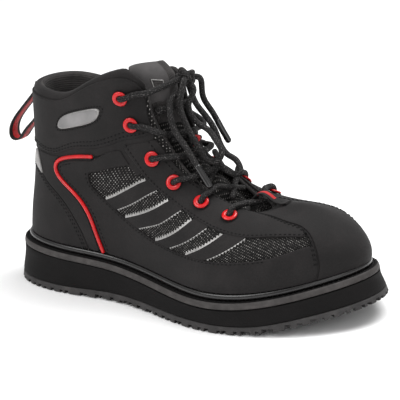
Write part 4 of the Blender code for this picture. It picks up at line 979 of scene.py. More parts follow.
# %% Knot, crossings and bar
STRANDS = {
    "crossing_1_0": (
        (94.6, -19.7, 142.5), (98.0, -18.3, 142.9), (100.6, -16.3, 143.1), (102.6, -13.8, 143.4),
        (104.5, -11.2, 143.6), (106.7, -7.5, 144.1), (107.0, -3.6, 143.7), (104.9, 1.0, 142.3),
        (103.5, 4.4, 141.4), (101.4, 7.4, 140.1), (98.3, 9.8, 138.5),
    ),
    "crossing_1_1": (
        (97.4, 10.0, 141.5), (99.5, 7.7, 142.0), (100.8, 4.8, 142.4), (101.8, 2.0, 142.9),
        (102.8, -0.9, 143.4), (104.2, -5.4, 143.9), (102.0, -10.3, 142.9), (99.9, -14.0, 142.0),
        (98.1, -17.1, 141.4), (95.5, -19.5, 140.5),
    ),
    "crossing_2_0": (
        (87.3, -31.7, 132.1), (103.1, -28.4, 128.1), (103.5, -24.3, 126.8), (104.0, -20.2, 125.5),
        (107.6, -17.4, 125.8), (110.0, -13.8, 125.5), (111.5, -10.5, 125.4), (113.3, -5.3, 125.4),
        (111.7, -0.6, 123.7), (110.1, 2.4, 122.2), (107.9, 5.4, 119.6), (105.4, 8.3, 116.9),
    ),
    "crossing_2_1": (
        (88.6, 24.7, 129.7), (106.2, 18.4, 122.9), (106.0, 14.0, 122.6), (105.8, 9.7, 122.3),
        (106.6, 6.1, 122.4), (107.4, 2.4, 122.4), (109.3, -1.0, 123.2), (111.3, -5.6, 124.1),
        (109.6, -10.1, 123.3), (108.0, -14.1, 122.3), (105.7, -17.9, 121.0),
    ),
    "crossing_3_0": (
        (103.8, -29.7, 110.9), (114.2, -26.9, 112.1), (114.2, -22.7, 111.0), (114.2, -18.5, 109.9),
        (117.0, -15.6, 110.6), (118.9, -12.2, 110.7), (121.1, -6.9, 111.9), (120.4, -2.1, 111.3),
        (117.8, 2.2, 108.8), (116.0, 5.0, 106.2), (114.2, 7.7, 103.5),
    ),
    "crossing_3_1": (
        (104.0, 21.5, 107.8), (113.4, 16.9, 108.4), (113.8, 13.0, 107.7), (114.1, 9.0, 107.0),
        (115.1, 5.7, 106.9), (116.2, 2.3, 106.8), (118.2, -0.6, 107.7), (120.3, -4.8, 108.5),
        (119.5, -9.0, 107.0), (118.6, -12.7, 105.4), (117.4, -16.2, 103.5),
    ),
    "crossing_4_0": (
        (120.3, -27.1, 96.7), (127.3, -23.5, 98.5), (127.4, -19.8, 98.1), (127.6, -16.0, 97.6),
        (128.7, -12.8, 98.0), (129.8, -9.7, 98.4), (131.4, -6.3, 99.8), (131.3, -2.8, 99.6),
        (130.4, 0.7, 98.5), (129.4, 3.6, 96.7), (128.3, 6.6, 94.9),
    ),
    "crossing_4_1": (
        (118.2, 19.6, 99.4), (122.1, 16.2, 102.9), (123.1, 12.6, 101.4), (124.2, 9.0, 100.0),
        (125.5, 5.5, 98.9), (126.7, 2.1, 97.8), (129.6, -2.3, 98.0), (130.0, -6.6, 95.8),
        (130.1, -9.7, 93.5), (130.3, -12.7, 91.3),
    ),
    "crossing_5_0": (
        (138.4, -23.1, 87.8), (141.0, -17.4, 90.3), (141.8, -14.6, 89.5), (142.6, -11.8, 88.6),
        (143.4, -9.0, 87.8), (144.2, -6.2, 87.0), (145.0, -3.4, 86.2), (145.8, -0.6, 85.3),
        (146.6, 2.3, 84.5), (147.4, 5.1, 83.7),
    ),
    "crossing_5_1": (
        (136.7, 19.7, 90.7), (138.1, 14.0, 95.5), (139.3, 11.0, 93.7), (140.5, 8.0, 91.9),
        (141.8, 5.0, 90.2), (143.0, 2.0, 88.4), (144.3, -1.0, 86.6), (145.5, -3.9, 84.8),
        (146.7, -6.9, 83.0), (148.0, -9.9, 81.2),
    ),
}
RISES = (
    (
        (84.1, -35.0, 155.5), (95.8, -29.5, 157.6), (97.2, -25.9, 158.3), (98.5, -22.2, 159.0),
        (99.8, -18.5, 159.8), (101.2, -14.8, 160.5), (102.5, -11.1, 161.3), (103.8, -7.4, 162.0),
        (105.2, -3.7, 162.8), (106.5, 0.0, 163.5),
    ),
    (
        (80.6, 27.8, 147.1), (97.5, 20.5, 154.9), (98.6, 18.0, 156.0), (99.7, 15.4, 157.1),
        (100.9, 12.8, 158.1), (102.0, 10.3, 159.2), (103.1, 7.7, 160.3), (104.2, 5.1, 161.4),
        (105.4, 2.6, 162.4), (106.5, 0.0, 163.5),
    ),
)
BAR = (
    (159.7, -20.0, 79.6), (162.0, -12.5, 79.4), (165.0, -6.5, 78.6), (167.5, 0.0, 78.6),
    (165.5, 6.5, 80.2), (161.0, 12.5, 82.4), (158.4, 18.9, 81.5),
)


def eyelet_seat(side, number):
    """Middle of an eyelet on the flap, and the direction that it faces."""
    station, level = EYELETS[side][number - 1][:2]
    out = facing(station, level)
    return surface(station, level) + out * (2 * GAP + OVERLAY), out


def through_eyelet(side, number, route):
    """The route with its start led through its eyelet, from behind the flap."""
    seat, out = eyelet_seat(side, number)
    ahead = route[0] - seat
    ahead = unit(ahead - out * (ahead @ out))
    start = [seat - out * 0.0020 - ahead * 0.0006, seat + out * 0.0010, seat + out * 0.0034 + ahead * 0.0028]
    rest = [p for p in route if (p - seat) @ ahead > 0.0066]
    return np.concatenate([start, rest])


def braid_of(route):
    return cord_mesh(smooth_line(route, 0.0014), LACE_RADIUS)


for number in range(1, 6):
    forms = []
    for k, side in enumerate(SIDES):
        route = millimetres(STRANDS[f"crossing_{number}_{k}"])
        forms.append(braid_of(through_eyelet(side, number, route) if number > 1 else route))
    make(f"lace_crossing_{number}_braid", joined(forms), braid, f"lace_crossing_{number}")
bar = millimetres(BAR)
half = len(bar) // 2
bar = np.concatenate([through_eyelet("outer", 6, bar[:half]), through_eyelet("inner", 6, bar[half:][::-1])[::-1]])
make("lace_bar_braid", braid_of(bar), braid, "lace_bar")

KNOT_POINTS, KNOT_WAVE = 96, 0.42
turn = np.linspace(0, math.tau, KNOT_POINTS, endpoint=False)
wound = 1.0 + KNOT_WAVE * np.cos(3 * turn)
winding = np.column_stack([KNOT_WAVE * np.sin(3 * turn), wound * np.cos(2 * turn), wound * np.sin(2 * turn)])
line = KNOT_CENTRE + winding / np.abs(winding).max(axis=0) * (KNOT_SIZE - LACE_RADIUS * 0.95)
forms = [cord_mesh(np.append(line, line[:1], axis=0), LACE_RADIUS, cap=False)]
forms += [braid_of(through_eyelet(side, 1, millimetres(route)[:-1])) for side, route in zip(SIDES, RISES)]
make("knot_braid", joined(forms), braid, "lace_knot")
print("lace pieces made")

# %% [markdown]
# ### Lace tips
# A braid frays where it is cut, so each end is shrunk into a hard, glossy tube.

# %% Lace tips
TIP_LENGTH, TIP_RADIUS = 0.016, 0.00235
tip_plastic = mottled("clear_black_tip", 5, ((0.3, "#0e0d0d"), (0.7, "#1c1b1b")),
                      Roughness=0.22, Coat_Weight=0.5, IOR=1.46)
for name in ("lace_end_outer", "lace_end_inner"):
    line = smooth_line(millimetres(BOW[name]), CORD_STEP)
    last = line[run_along(line[::-1])[::-1] < TIP_LENGTH]
    make(name + "_tip", cord_mesh(last, TIP_RADIUS, around=16), tip_plastic)

# %% [markdown]
# ## The upper
# The shell of the boot is one skin of spacer mesh, lined inside. It thickens into a padded collar
# round the ankle and rolls over at its rim. The outside takes the mesh, and the roll and the inside
# take the lining. The band over the collar panel's top edge is nubuck, up to the middle of the roll.

# %% Shell
COLUMNS_ROUND, ROWS_UP, ROWS_IN, ROLL_STEPS = 240, 44, 22, 9
stations = np.linspace(0, TURN, COLUMNS_ROUND, endpoint=False)
levels_up = np.linspace(0, 4, ROWS_UP)
rows = [surface(stations, level) for level in levels_up]
rim, rim_depth = rows[-1], thickness(stations, 4.0)
inner_rim = offset(stations, 4.0, -rim_depth)
rise = unit(rim - surface(stations, 3.9)) * (rim_depth / 2)[:, None]
for angle in np.linspace(0, math.pi, ROLL_STEPS + 2)[1:-1]:
    rows.append((rim + inner_rim) / 2 + (rim - inner_rim) / 2 * math.cos(angle) + rise * math.sin(angle))
for level in np.linspace(4, 0, ROWS_IN):
    rows.append(offset(stations, level, -thickness(stations, level)))
rows[-1][:, 2] = ledge_height(rows[-1][:, 0]) + GAP
skin = np.stack(rows)
tall = 4 * LEVEL_STEP
flat_up = np.concatenate([levels_up * LEVEL_STEP, tall + np.linspace(0.001, 0.012, ROLL_STEPS),
                          tall + 0.013 + np.linspace(0, tall, ROWS_IN)])
flat = flat_map(flat_up, stations * STATION_STEP)[:, ::-1]
faces = grid_faces(len(rows), COLUMNS_ROUND, closed=True)
shell = make("shell", (skin.reshape(-1, 3), faces, flat), [mesh_cloth, lining, nubuck], "upper")
row_of, column_of = np.divmod(np.arange(len(faces)), COLUMNS_ROUND)
from_heel = np.minimum(stations[column_of], TURN - stations[column_of])
collar = (row_of > 0.86 * ROWS_UP) & (row_of < ROWS_UP + ROLL_STEPS * 0.5) & (from_heel < 3.12)
look = np.where(collar, 2, np.where(row_of < ROWS_UP - 1, 0, 1))
shell.data.polygons.foreach_set("material_index", look.astype(np.int32))
print("shell faces", len(faces))

# %% [markdown]
# ### Panels of nubuck
# The panels are sewn on over the mesh: a cap at the toe, a counter and a stay at the heel, a
# quarter along each side, a wing behind it, a collar panel, and the eyelet stay. Each is the
# outline that its solid has, with its edge rolled down.

# %% Toe cap, counter and stay
edge = shifted(rounded(TOE_CAP_EDGE, steps=4)[1:], SEAM_S)
low = hem(TURN - TOE_CAP_EDGE[0][0] - SEAM_S, TOE_CAP_EDGE[0][0] + SEAM_S, 24)
panel("toe_cap", edge + mirrored(edge)[::-1] + low)
edge = rounded(COUNTER_EDGE, steps=4)[1:]
low = hem(-COUNTER_EDGE[0][0], COUNTER_EDGE[0][0], 24)
panel("counter", edge + [(-s, t) for s, t in edge][::-1] + low)
panel("back_stay", [(-0.52, 2.46), (0.52, 2.46), (0.52, 3.90), (-0.52, 3.90)])

# %% Collar panels, quarters, wings and eyelet stays
low = shifted(rounded(COLLAR_LOW, steps=4), 0.0, SEAM_T)
both_sides("collar_panel", low + [(3.30, 3.95), (3.05, 3.97), (0.60, 3.97)])
front = shifted(TOE_CAP_EDGE[1:3], -SEAM_S)
window = rounded(WINDOW_EDGE, steps=4)
top = [(3.46, 3.16), (3.22, 3.28), (3.02, 3.16)]
rear = beside(PIPING_PATH, -PIPING_SEAM)[:-1]
foot = hem(PIPING_PATH[-1][0] + 0.06, TOE_CAP_EDGE[0][0] - SEAM_S, 24)
both_sides("quarter", front + window + top + rear + foot)
rear = beside(rounded(COUNTER_EDGE, steps=2)[:11], PANEL_SEAM)[1:]
front = beside(PIPING_PATH, PIPING_SEAM)[3:-1]
foot = hem(PIPING_PATH[-1][0] - 0.06, COUNTER_EDGE[0][0] + 0.03)
both_sides("heel_wing", rear + [(1.60, 2.72), (2.06, 2.76)] + front + foot)
low = rounded(EYESTAY_LOW, steps=4)
front = [(6.90, 2.16), (6.64, 2.44), (6.38, 2.94), (6.19, 3.38), (6.14, 3.86)]
top = [(5.6, 3.88), (5.0, 3.88), (4.4, 3.88), (3.95, 3.88), (3.64, 3.86)]
both_sides("eyestay", low + front + top + [(3.48, 3.60), (3.30, 3.42)])

# %% [markdown]
# ### Backing under the seams
# Where two panels meet edge to edge, a strip of the same nubuck lies under both, so no mesh shows
# between them.

# %% Backing under the seams
BACKING_HIGH = 0.0007
EYESTAY_CORNER = ((3.06, 3.40), (3.24, 3.31), (3.48, 3.22), (3.66, 3.12))
for name, path, half in (
    ("collar_backing", COLLAR_LOW, 0.0036),
    ("piping_backing", PIPING_PATH, 0.0040),
    ("stay_backing", COUNTER_EDGE, 0.0030),
    ("eyestay_backing", EYESTAY_CORNER, 0.0036),
    ("cap_backing", TOE_CAP_EDGE, 0.0024),
):
    line = rounded(path, steps=4)
    added_panels(name, beside(line, half) + beside(line, -half)[::-1], nubuck, 0.0, BACKING_HIGH)

# %% [markdown]
# ### Side straps
# Four straps on each side tie the eyelet stay to the quarter over the mesh window. Under each strap
# lies a strip of reflective film, cut with pinking shears: its teeth stand out 2 mm along the rear
# edge and just peep out along the front one.

# %% Side straps and their trim
STRAP_HIGH = 0.00105
UNDERLAP_TOP, UNDERLAP_LOW = 0.16, 0.12
for k, (rear_top, rear_low, front_top, front_low) in enumerate(STRAPS, 1):
    run_rear, run_front = np.subtract(rear_top, rear_low), np.subtract(front_top, front_low)
    corners = [rear_low - run_rear * UNDERLAP_LOW, front_low - run_front * UNDERLAP_LOW,
               front_top + run_front * UNDERLAP_TOP, rear_top + run_rear * UNDERLAP_TOP]
    both_sides(f"strap_{k}", [tuple(c) for c in corners], high=STRAP_HIGH)
for side in SIDES:
    rear_trim, front_trim = [], []
    for strap in STRAPS:
        rear_top, rear_low, front_top, front_low = np.array(on_side(strap, side))
        wide = front_low - rear_low
        rear_trim.append(teeth_form(rear_low, rear_top, rear_low - wide, 0.0006, 0.0006, 0.0024))
        front_trim.append(teeth_form(front_low, front_top, front_low + wide, 0.0004, -0.0002, 0.0012))
    make(f"pinked_trim_{side}", joined(rear_trim + front_trim), silver, sharp=20)

# %% [markdown]
# ### Seams
# Twin rows of stitches, 2 mm apart, follow the edges that carry load.

# %% Seams
# Runs with their distances beside the edge, in metres; a minus sign is to the left of the run's way
SEAMS = (
    (rounded(TOE_CAP_EDGE[1:], steps=4), (-0.0022, -0.0042)),
    (rounded(COUNTER_EDGE, steps=4), (-0.0020, -0.0040)),
    (rounded(COLLAR_LOW, steps=4), (-0.0022, -0.0042)),
    (rounded(EYESTAY_LOW, steps=4), (-0.0022,)),
    (rounded(WINDOW_EDGE[1:], steps=4), (-0.0022,)),
    (PIPING_PATH[2:], (-0.0048,)),
)
throat = [(s, 3.72) for s in np.linspace(3.55, 6.05, 14)]
for side in SIDES:
    stitches(f"seams_{side}", [on_side(beside(path, far), side) for path, fars in SEAMS for far in fars])
    stitches(f"throat_seam_{side}", [on_side(throat, side)])
stitches("stay_seam", [[(s, 2.52), (s, 3.86)] for s in (-0.44, 0.44)])

# %% [markdown]
# ## The tongue
# The tongue is a padded leaf that widens over the ankle and stands above the throat. It is thick
# in the middle and thins to a bound edge. Its base is mesh, its upper part has a smooth grey panel
# beside the lining's textile, and a bare label sits on the panel.

# %% Tongue
# Tongue rows from its root up: outer station, inner station, level of the flaps over it, crown
TONGUE = (
    (7.30, 8.75, 3.66, -0.0004), (6.60, 9.40, 3.70, 0.0006), (5.60, 10.40, 3.74, 0.0035),
    (4.80, 11.10, 3.76, 0.0060), (4.20, 11.65, 3.78, 0.0080), (3.80, 12.10, 3.78, 0.0090),
    (3.55, 12.40, 3.78, 0.0095), (3.38, 12.62, 3.78, 0.0095), (3.24, 12.78, 3.80, 0.0085),
)
# Rows above the throat, five points each from the outer to the inner side, as shares
TONGUE_TOP = (
    (
        (0.405, -0.245, 0.975),
        (0.432, -0.200, 0.985),
        (0.478, -0.020, 0.965),
        (0.437, 0.115, 0.950),
        (0.405, 0.185, 0.925),
    ),
    (
        (0.385, -0.225, 1.035),
        (0.405, -0.180, 1.040),
        (0.435, -0.020, 1.035),
        (0.405, 0.110, 1.010),
        (0.380, 0.170, 0.985),
    ),
)


# Further room under the laces over the throat, and near the tongue's root
THROAT_CLEARANCE = 0.0030
ROOT_CLEARANCE = 0.0018


def tongue_rows():
    rows = []
    for outer, inner, level, crown in TONGUE:
        edge_level = 4.0 if level > 3.7 else level + 0.12
        stations = np.array([outer, outer, inner, inner])
        levels = np.array([level, edge_level, edge_level, level])
        depth = thickness(stations, levels) + TONGUE_CLEARANCE
        depth[1:3] += THROAT_CLEARANCE
        depth += ROOT_CLEARANCE * max(0.0, min(1.0, outer - 4.6))
        four = offset(stations, levels, -depth)
        ahead = unit(facing(stations[1], levels[1]) + facing(stations[2], levels[2]))
        middle = (four[1] + four[2]) / 2 + ahead * crown
        rows.append(np.array([four[0], four[1], middle, four[2], four[3]]))
    for row in TONGUE_TOP:
        points = []
        for length, width, height in row:
            x = float(length_at(length))
            z = float(ledge_height(x)) + height * UPPER_HEIGHT
            points.append((x, width * BALL_WIDTH, z))
        rows.append(np.array(points))
    return np.array(rows)


def tongue_surface(across, up):
    """The tongue's face: across from 0 at the outer side to 4, up in rows."""
    rows = tongue_rows()
    columns = spline(np.arange(len(rows), dtype=float), rows, up)
    return spline(np.arange(5, dtype=float), np.moveaxis(columns, 1, 0), across)


def grid_normals(grid, like):
    """Unit normals of a grid of points, on the same side as the given direction."""
    normals = unit(np.cross(np.gradient(grid, axis=1), np.gradient(grid, axis=0)))
    return normals * np.sign(normals[len(grid) // 2, grid.shape[1] // 2] @ like)


TONGUE_COLUMNS, TONGUE_ROWS = 41, 91
LAST_ROW = len(TONGUE) + len(TONGUE_TOP) - 1
EDGE_ROUND, CORNER_DROP = 0.0030, 0.11
FORWARD_UP = np.array([0.7, 0.0, 0.7])

across = np.linspace(0, 4, TONGUE_COLUMNS)
ups = np.linspace(0, LAST_ROW, TONGUE_ROWS)
corner = 1 - CORNER_DROP * np.abs(across / 2 - 1) ** 3
leaf = np.stack([tongue_surface(np.array([a]), ups * c)[0] for a, c in zip(across, corner)], axis=1)
leaf_normal = grid_normals(leaf, FORWARD_UP)


def run_over(grid, axis):
    steps = np.linalg.norm(np.diff(grid, axis=axis), axis=-1)
    return np.insert(np.cumsum(steps, axis=axis), 0, 0, axis=axis)


side_run, up_run = run_over(leaf, 1), run_over(leaf, 0)
to_edge = np.minimum.reduce([side_run, side_run[:, -1:] - side_run, up_run[-1:] - up_run])
share = np.clip(1 - to_edge / EDGE_ROUND, 0, 1)
half = leaf_normal * TONGUE_THICKNESS / 2
middle, swell = leaf - half, half * np.sqrt(1 - share**2)[..., None]
points = np.concatenate([(middle + swell).reshape(-1, 3), (middle - swell).reshape(-1, 3)])
count = TONGUE_ROWS * TONGUE_COLUMNS
faces = grid_faces(TONGUE_ROWS, TONGUE_COLUMNS)
hidden = [tuple(k + count for k in face[::-1]) for face in faces]
flat = np.stack([side_run, up_run], axis=-1).reshape(-1, 2)
form = points, faces + hidden, np.concatenate([flat, flat])
tongue = make("tongue_leaf", form, [mesh_cloth, brushed_panel, lining], "tongue", sharp=0)

MESH_TOP_ROW, PANEL_ROWS, PANEL_ACROSS = 6.1, (7.5, 10.4), (0.35, 1.75)
row_of, column_of = np.divmod(np.arange(len(faces)), TONGUE_COLUMNS - 1)
row_of, column_of = row_of * LAST_ROW / (TONGUE_ROWS - 1), column_of * 4 / (TONGUE_COLUMNS - 1)
panelled = (row_of > PANEL_ROWS[0]) & (row_of < PANEL_ROWS[1])
panelled &= (column_of > PANEL_ACROSS[0]) & (column_of < PANEL_ACROSS[1])
look = np.where(panelled, 1, np.where(row_of > MESH_TOP_ROW, 2, 0))
look = np.concatenate([look, np.full(len(hidden), 2)]).astype(np.int32)
tongue.data.polygons.foreach_set("material_index", look)
mend(tongue.data, merge=1e-5)

# %% [markdown]
# ### Label
# The label is a small plate of textile, sewn down at its edges, with a thin silver rim.

# %% Label
LABEL_ROWS, LABEL_ACROSS = (8.25, 8.80), (1.20, 1.62)
LABEL_RISE, RIM_RISE, RIM_RADIUS = 0.0009, 0.0010, 0.00035
plate = np.moveaxis(tongue_surface(np.linspace(*LABEL_ACROSS, 13), np.linspace(*LABEL_ROWS, 11)), 0, 1)
plate_normal = grid_normals(plate, FORWARD_UP)
lift = np.zeros(plate.shape[:2])
lift[1:-1, 1:-1] = LABEL_RISE
label_points = (plate + plate_normal * lift[..., None]).reshape(-1, 3)
make("bare_label", (label_points, grid_faces(*plate.shape[:2]), label_points[:, 1:]), lining, sharp=0)
rim = np.concatenate([plate[1, 1:-1], plate[2:-1, -2], plate[-2, 1:-2][::-1], plate[1:-2, 1][::-1]])
make("label_rim", cord_mesh(rim + plate_normal[5, 6] * RIM_RISE, RIM_RADIUS, around=6), silver)
print("tongue height", round(float(up_run[-1].max()) * 1000), "mm")

# %% [markdown]
# ## The sole
# The sole is glued up in layers. At the bottom is a rubber outsole cut into lugs, then the wedge of
# foam, then a rubber rand that stands a little proud, then the ledge where the rand is stitched
# through, and a glossy bead in the corner between ledge and upper.

# %% Layers of the sole
SOLE_COLUMNS = 256
sole_stations = np.linspace(0, TURN, SOLE_COLUMNS, endpoint=False)


def flare(x):
    share = x / LAST_LENGTH + HEEL_SHARE
    grown = np.clip((share - FLARE_START) / (FLARE_END - FLARE_START), 0, 1) ** 1.5
    return HEEL_FLARE + (TOE_FLARE - HEEL_FLARE) * grown


def side_loop(height, lip=0.0):
    """The sole's side at a height given as a function of x, on the slanted side wall."""
    x = outline(0, sole_stations)[:, 0]
    share = (height(x) - tread_height(x)) / (ledge_height(x) - tread_height(x))
    loop = outline(BAND_MARGIN + (flare(x) - BAND_MARGIN) * (1 - share) + lip, sole_stations)
    loop[:, 2] = height(loop[:, 0])
    return loop


def tread_top(x):
    return tread_height(x) + TREAD_THICKNESS


def band_bottom(x):
    return ledge_height(x) - BAND_THICKNESS


def layer(name, loops, look, node):
    """A closed plate through these loops, from the lowest to the highest."""
    count = SOLE_COLUMNS
    points = np.concatenate(loops)
    run = run_along(loops[0])
    flat = np.concatenate([np.column_stack([run, loop[:, 2]]) for loop in loops])
    faces = grid_faces(len(loops), count, closed=True)
    for base, turned in ((0, True), (len(points) - count, False)):
        for i in range(count // 2):
            across = [i, i + 1, (count - i - 1) % count, (count - i) % count]
            strip = list(dict.fromkeys(base + k for k in across))
            if len(strip) > 2:
                faces.append(tuple(strip if turned else reversed(strip)))
    return make(name, (points, faces, flat), look, node, sharp=50)


def at_share(low, high, share):
    return lambda x: low(x) * (1 - share) + high(x) * share


def foam_bottom(x):
    return tread_top(x) + GAP


def foam_top(x):
    return band_bottom(x) - GAP


# Rows of each layer's side wall: share of its height, and how far it stands out
FOAM_ROWS = (
    (0.0, -0.0006), (0.06, 0.0), (0.30, -0.0002), (0.55, -0.0005), (0.80, -0.0004), (0.96, 0.0), (1.0, -0.0006),
)
RAND_ROWS = (
    (0.0, -0.0010), (0.05, -0.0003), (0.18, 0.0004), (0.40, 0.0005), (0.70, 0.0004), (0.90, 0.0002), (0.98, -0.0001),
    (1.0, -0.0006),
)
OUTSOLE_ROWS = ((0.0, -0.0007), (0.10, 0.0), (0.90, 0.0), (1.0, -0.0006))


def walls(low, high, rows):
    return [side_loop(at_share(low, high, share), lip) for share, lip in rows]


layer("foam_wedge", walls(foam_bottom, foam_top, FOAM_ROWS), eva, "midsole")
rand = layer("rand", walls(band_bottom, ledge_height, RAND_ROWS), [rand_rubber, eva], "band")
# The rand's upward faces take the dark foam finish: partly dark rubber, partly painted shade where the bead above
# shadows the ledge.
upward = np.array([face.normal.z > 0.9 for face in rand.data.polygons], dtype=np.int32)
rand.data.polygons.foreach_set("material_index", upward)

# %% [markdown]
# ### Outsole
# The tread is one plate with grooves cut into it, so that the lugs stand on a common base. The
# grooves run across in shallow chevrons, with two lanes along the foot, and smaller notches break
# the edge between them. Cutting is a job for the Boolean modifier.

# %% Outsole
LUG_PITCH, GROOVE_WIDTH, CHEVRON, GROOVE_REACH = 0.0140, 0.0036, 0.004, 0.075
LANES = (-0.0170, 0.0170)
tread = layer("tread", walls(tread_height, tread_top, OUTSOLE_ROWS), rubber, "outsole")


def bar_between(a, b, half, roof_a, roof_b, under=-0.004):
    """A cutting bar from a to b on the ground plane, up to a roof over each."""
    a, b = np.asarray(a, float), np.asarray(b, float)
    way = unit(b - a)
    side = np.array([-way[1], way[0]]) * half
    points = []
    for spot, roof in ((a, roof_a), (b, roof_b)):
        for corner, z in ((spot - side, under), (spot + side, under), (spot + side, roof), (spot - side, roof)):
            points.append((*corner, z))
    faces = [(0, 1, 2, 3), (7, 6, 5, 4), (0, 4, 5, 1), (1, 5, 6, 2), (2, 6, 7, 3), (3, 7, 4, 0)]
    return np.array(points), faces, np.zeros((8, 2))


def cut(piece, bars):
    points, faces, _ = joined(bars)
    mesh = raw_mesh("cutter", points, faces)
    mend(mesh)
    cutter = bpy.data.objects.new("cutter", mesh)
    bpy.context.scene.collection.objects.link(cutter)
    change = piece.modifiers.new("cut", "BOOLEAN")
    change.operation, change.solver, change.object = "DIFFERENCE", "EXACT", cutter
    change.use_self = False
    bpy.context.view_layer.update()
    solid = bpy.data.meshes.new_from_object(piece.evaluated_get(bpy.context.evaluated_depsgraph_get()))
    piece.modifiers.clear()
    piece.data = solid
    bpy.data.objects.remove(cutter, do_unlink=True)


def roof(x):
    return float(tread_height(x)) + LUG_HEIGHT


first = float(length_at(PROFILE[0][0])) - LUG_PITCH
start = LUG_PITCH / 2 - math.ceil(-first / LUG_PITCH) * LUG_PITCH
middles = [start + k * LUG_PITCH for k in range(int(1.16 * LAST_LENGTH / LUG_PITCH))]
for toward in (-1, 1):
    ends = [((x, -toward * 0.0004), (x - CHEVRON, toward * GROOVE_REACH)) for x in middles]
    cut(tread, [bar_between(a, b, GROOVE_WIDTH / 2, roof(a[0]), roof(a[0])) for a, b in ends])
steps = np.linspace(first, float(length_at(1.1)), 11)
for y in LANES:
    lane = [bar_between((a, y), (b + 0.0001, y), GROOVE_WIDTH / 2, roof(a), roof(b)) for a, b in zip(steps, steps[1:])]
    for bars in (lane[0::2], lane[1::2]):
        cut(tread, bars)

# Notches round the edge, apart from the places where a groove comes out and from the blunt ends
NOTCH_START, NOTCH_PITCH, CLEAR_OF_GROOVE, BLUNT = 0.004, 0.0070, 0.0036, 0.8
chance = np.random.default_rng(11)
notches = []
edge_loop = side_loop(tread_height)
edge_run = run_along(edge_loop)
at = NOTCH_START
while at < edge_run[-1] - NOTCH_START:
    k = int(np.searchsorted(edge_run, at))
    spot = edge_loop[k, :2]
    way = edge_loop[(k + 1) % SOLE_COLUMNS, :2] - edge_loop[k - 1, :2]
    out = unit(np.array([way[1], -way[0]]))
    lean = CHEVRON * abs(spot[1]) / GROOVE_REACH
    if min(abs(spot[0] - x + lean) for x in middles) > CLEAR_OF_GROOVE or abs(out[0]) > BLUNT:
        height = roof(spot[0]) - 0.0006 * chance.random()
        inner = spot - out * (0.005 + 0.003 * chance.random())
        notches.append(bar_between(spot + out * 0.004, inner, 0.0012 + 0.0008 * chance.random(), height, height))
    at += NOTCH_PITCH + 0.0012 * chance.random()
cut(tread, notches)
tread.data.shade_flat()
print("outsole faces", len(tread.data.polygons))

# %% [markdown]
# ### Ledge and bead
# The ledge on top of the rand is dark, with a row of stitches: its top takes the dark foam finish,
# which is partly its own dark rubber and partly painted shade from the bead. The bead hides the joint where the

# %% Ledge stitches and bead
# The bead's section: distance out from the upper and height above the ledge, as shares of its own
BEAD_ROUND = (
    (0.55, 0.00), (0.82, 0.04), (0.97, 0.20), (1.00, 0.42), (0.97, 0.62), (0.87, 0.80), (0.68, 0.93), (0.45, 0.98),
)
foot = offset(sole_stations, 0.0, np.full(SOLE_COLUMNS, GAP))
foot[:, 2] = ledge_height(foot[:, 0]) + GAP
rows = [foot]
for out, up in BEAD_ROUND:
    row = outline(-UPPER_INSET + out * BEAD_WIDTH, sole_stations)
    row[:, 2] = ledge_height(row[:, 0]) + GAP + up * BEAD_HEIGHT
    rows.append(row)
rows.append(offset(sole_stations, hem_level(sole_stations, 0.97 * BEAD_HEIGHT), np.full(SOLE_COLUMNS, 0.0002)))
sections = np.stack(rows, axis=1)
flat = flat_map(run_along(foot), np.arange(len(rows)) * 0.0012)
form = sections.reshape(-1, 3), grid_faces(SOLE_COLUMNS, len(rows), closed=True, looped=True), flat
make("bead", form, bead_rubber, "welt_bead", sharp=0)

LEDGE_PITCH, LEDGE_STITCH, LEDGE_THREAD = 0.0036, 0.0012, 0.00045
ledge = outline(-UPPER_INSET + BEAD_WIDTH + 0.5 * (BAND_MARGIN + UPPER_INSET - BEAD_WIDTH), sole_stations)
ledge[:, 2] = ledge_height(ledge[:, 0])
ledge = np.concatenate([ledge, ledge[:1]])
run = run_along(ledge)
at = np.arange(0, run[-1], LEDGE_PITCH)
spots = np.column_stack([np.interp(at, run, ledge[:, k]) for k in range(3)])
forms = []
for spot, way in zip(spots, unit(np.gradient(spots, axis=0)) * LEDGE_STITCH):
    line = spot + np.array([-way, (0, 0, 0), way]) + ((0, 0, -0.0003), (0, 0, 0.00035), (0, 0, -0.0003))
    forms.append(cord_mesh(line, LEDGE_THREAD, around=6, cap=False))
make("ledge_stitches", joined(forms), thread)

# %% [markdown]
# ## Trim
# What is left is small and close to the eye: the red rings of the eyelets, the red piping behind
# the quarter, the badge, the wedge at the heel, and the webbing.

# %% Eyelets
def ring_mesh(seat, out, ring, wall, height, segments=40, around=12):
    """The form of a ring that lies on its seat: the radius of its middle line, and its wall and height."""
    side = unit(np.cross(out, (0.0, 0.0, 1.0)))
    other = np.cross(out, side)
    turn = np.linspace(0, math.tau, segments, endpoint=False)
    section = np.linspace(0, math.tau, around, endpoint=False)
    radial = np.cos(turn)[:, None] * side + np.sin(turn)[:, None] * other
    reach = ring + wall * np.cos(section)
    lift = height / 2 * (1 + np.sin(section))
    points = (seat + radial[:, None] * reach[None, :, None] + out * lift[None, :, None]).reshape(-1, 3)
    return points, grid_faces(segments, around, closed=True, looped=True), np.zeros((len(points), 2))


RING, RING_WALL = (EYELET_RADIUS + EYELET_HOLE) / 2, (EYELET_RADIUS - EYELET_HOLE) / 2
RING_HEIGHT, SEAT_HEIGHT, SINK = 0.0018, 0.0007, 0.0002
for side in SIDES:
    seats = []
    for number in range(1, len(EYELETS[side]) + 1):
        seat, out = eyelet_seat(side, number)
        form = ring_mesh(seat + out * SINK, out, RING, RING_WALL, RING_HEIGHT)
        make(f"eyelet_{side}_{number}_ring", form, red_gloss, f"eyelet_{side}_{number}")
        seats.append(ring_mesh(seat - out * SINK, out, RING + 0.0004, RING_WALL + 0.0003, SEAT_HEIGHT))
    make(f"eyelet_seats_{side}", joined(seats), thread)

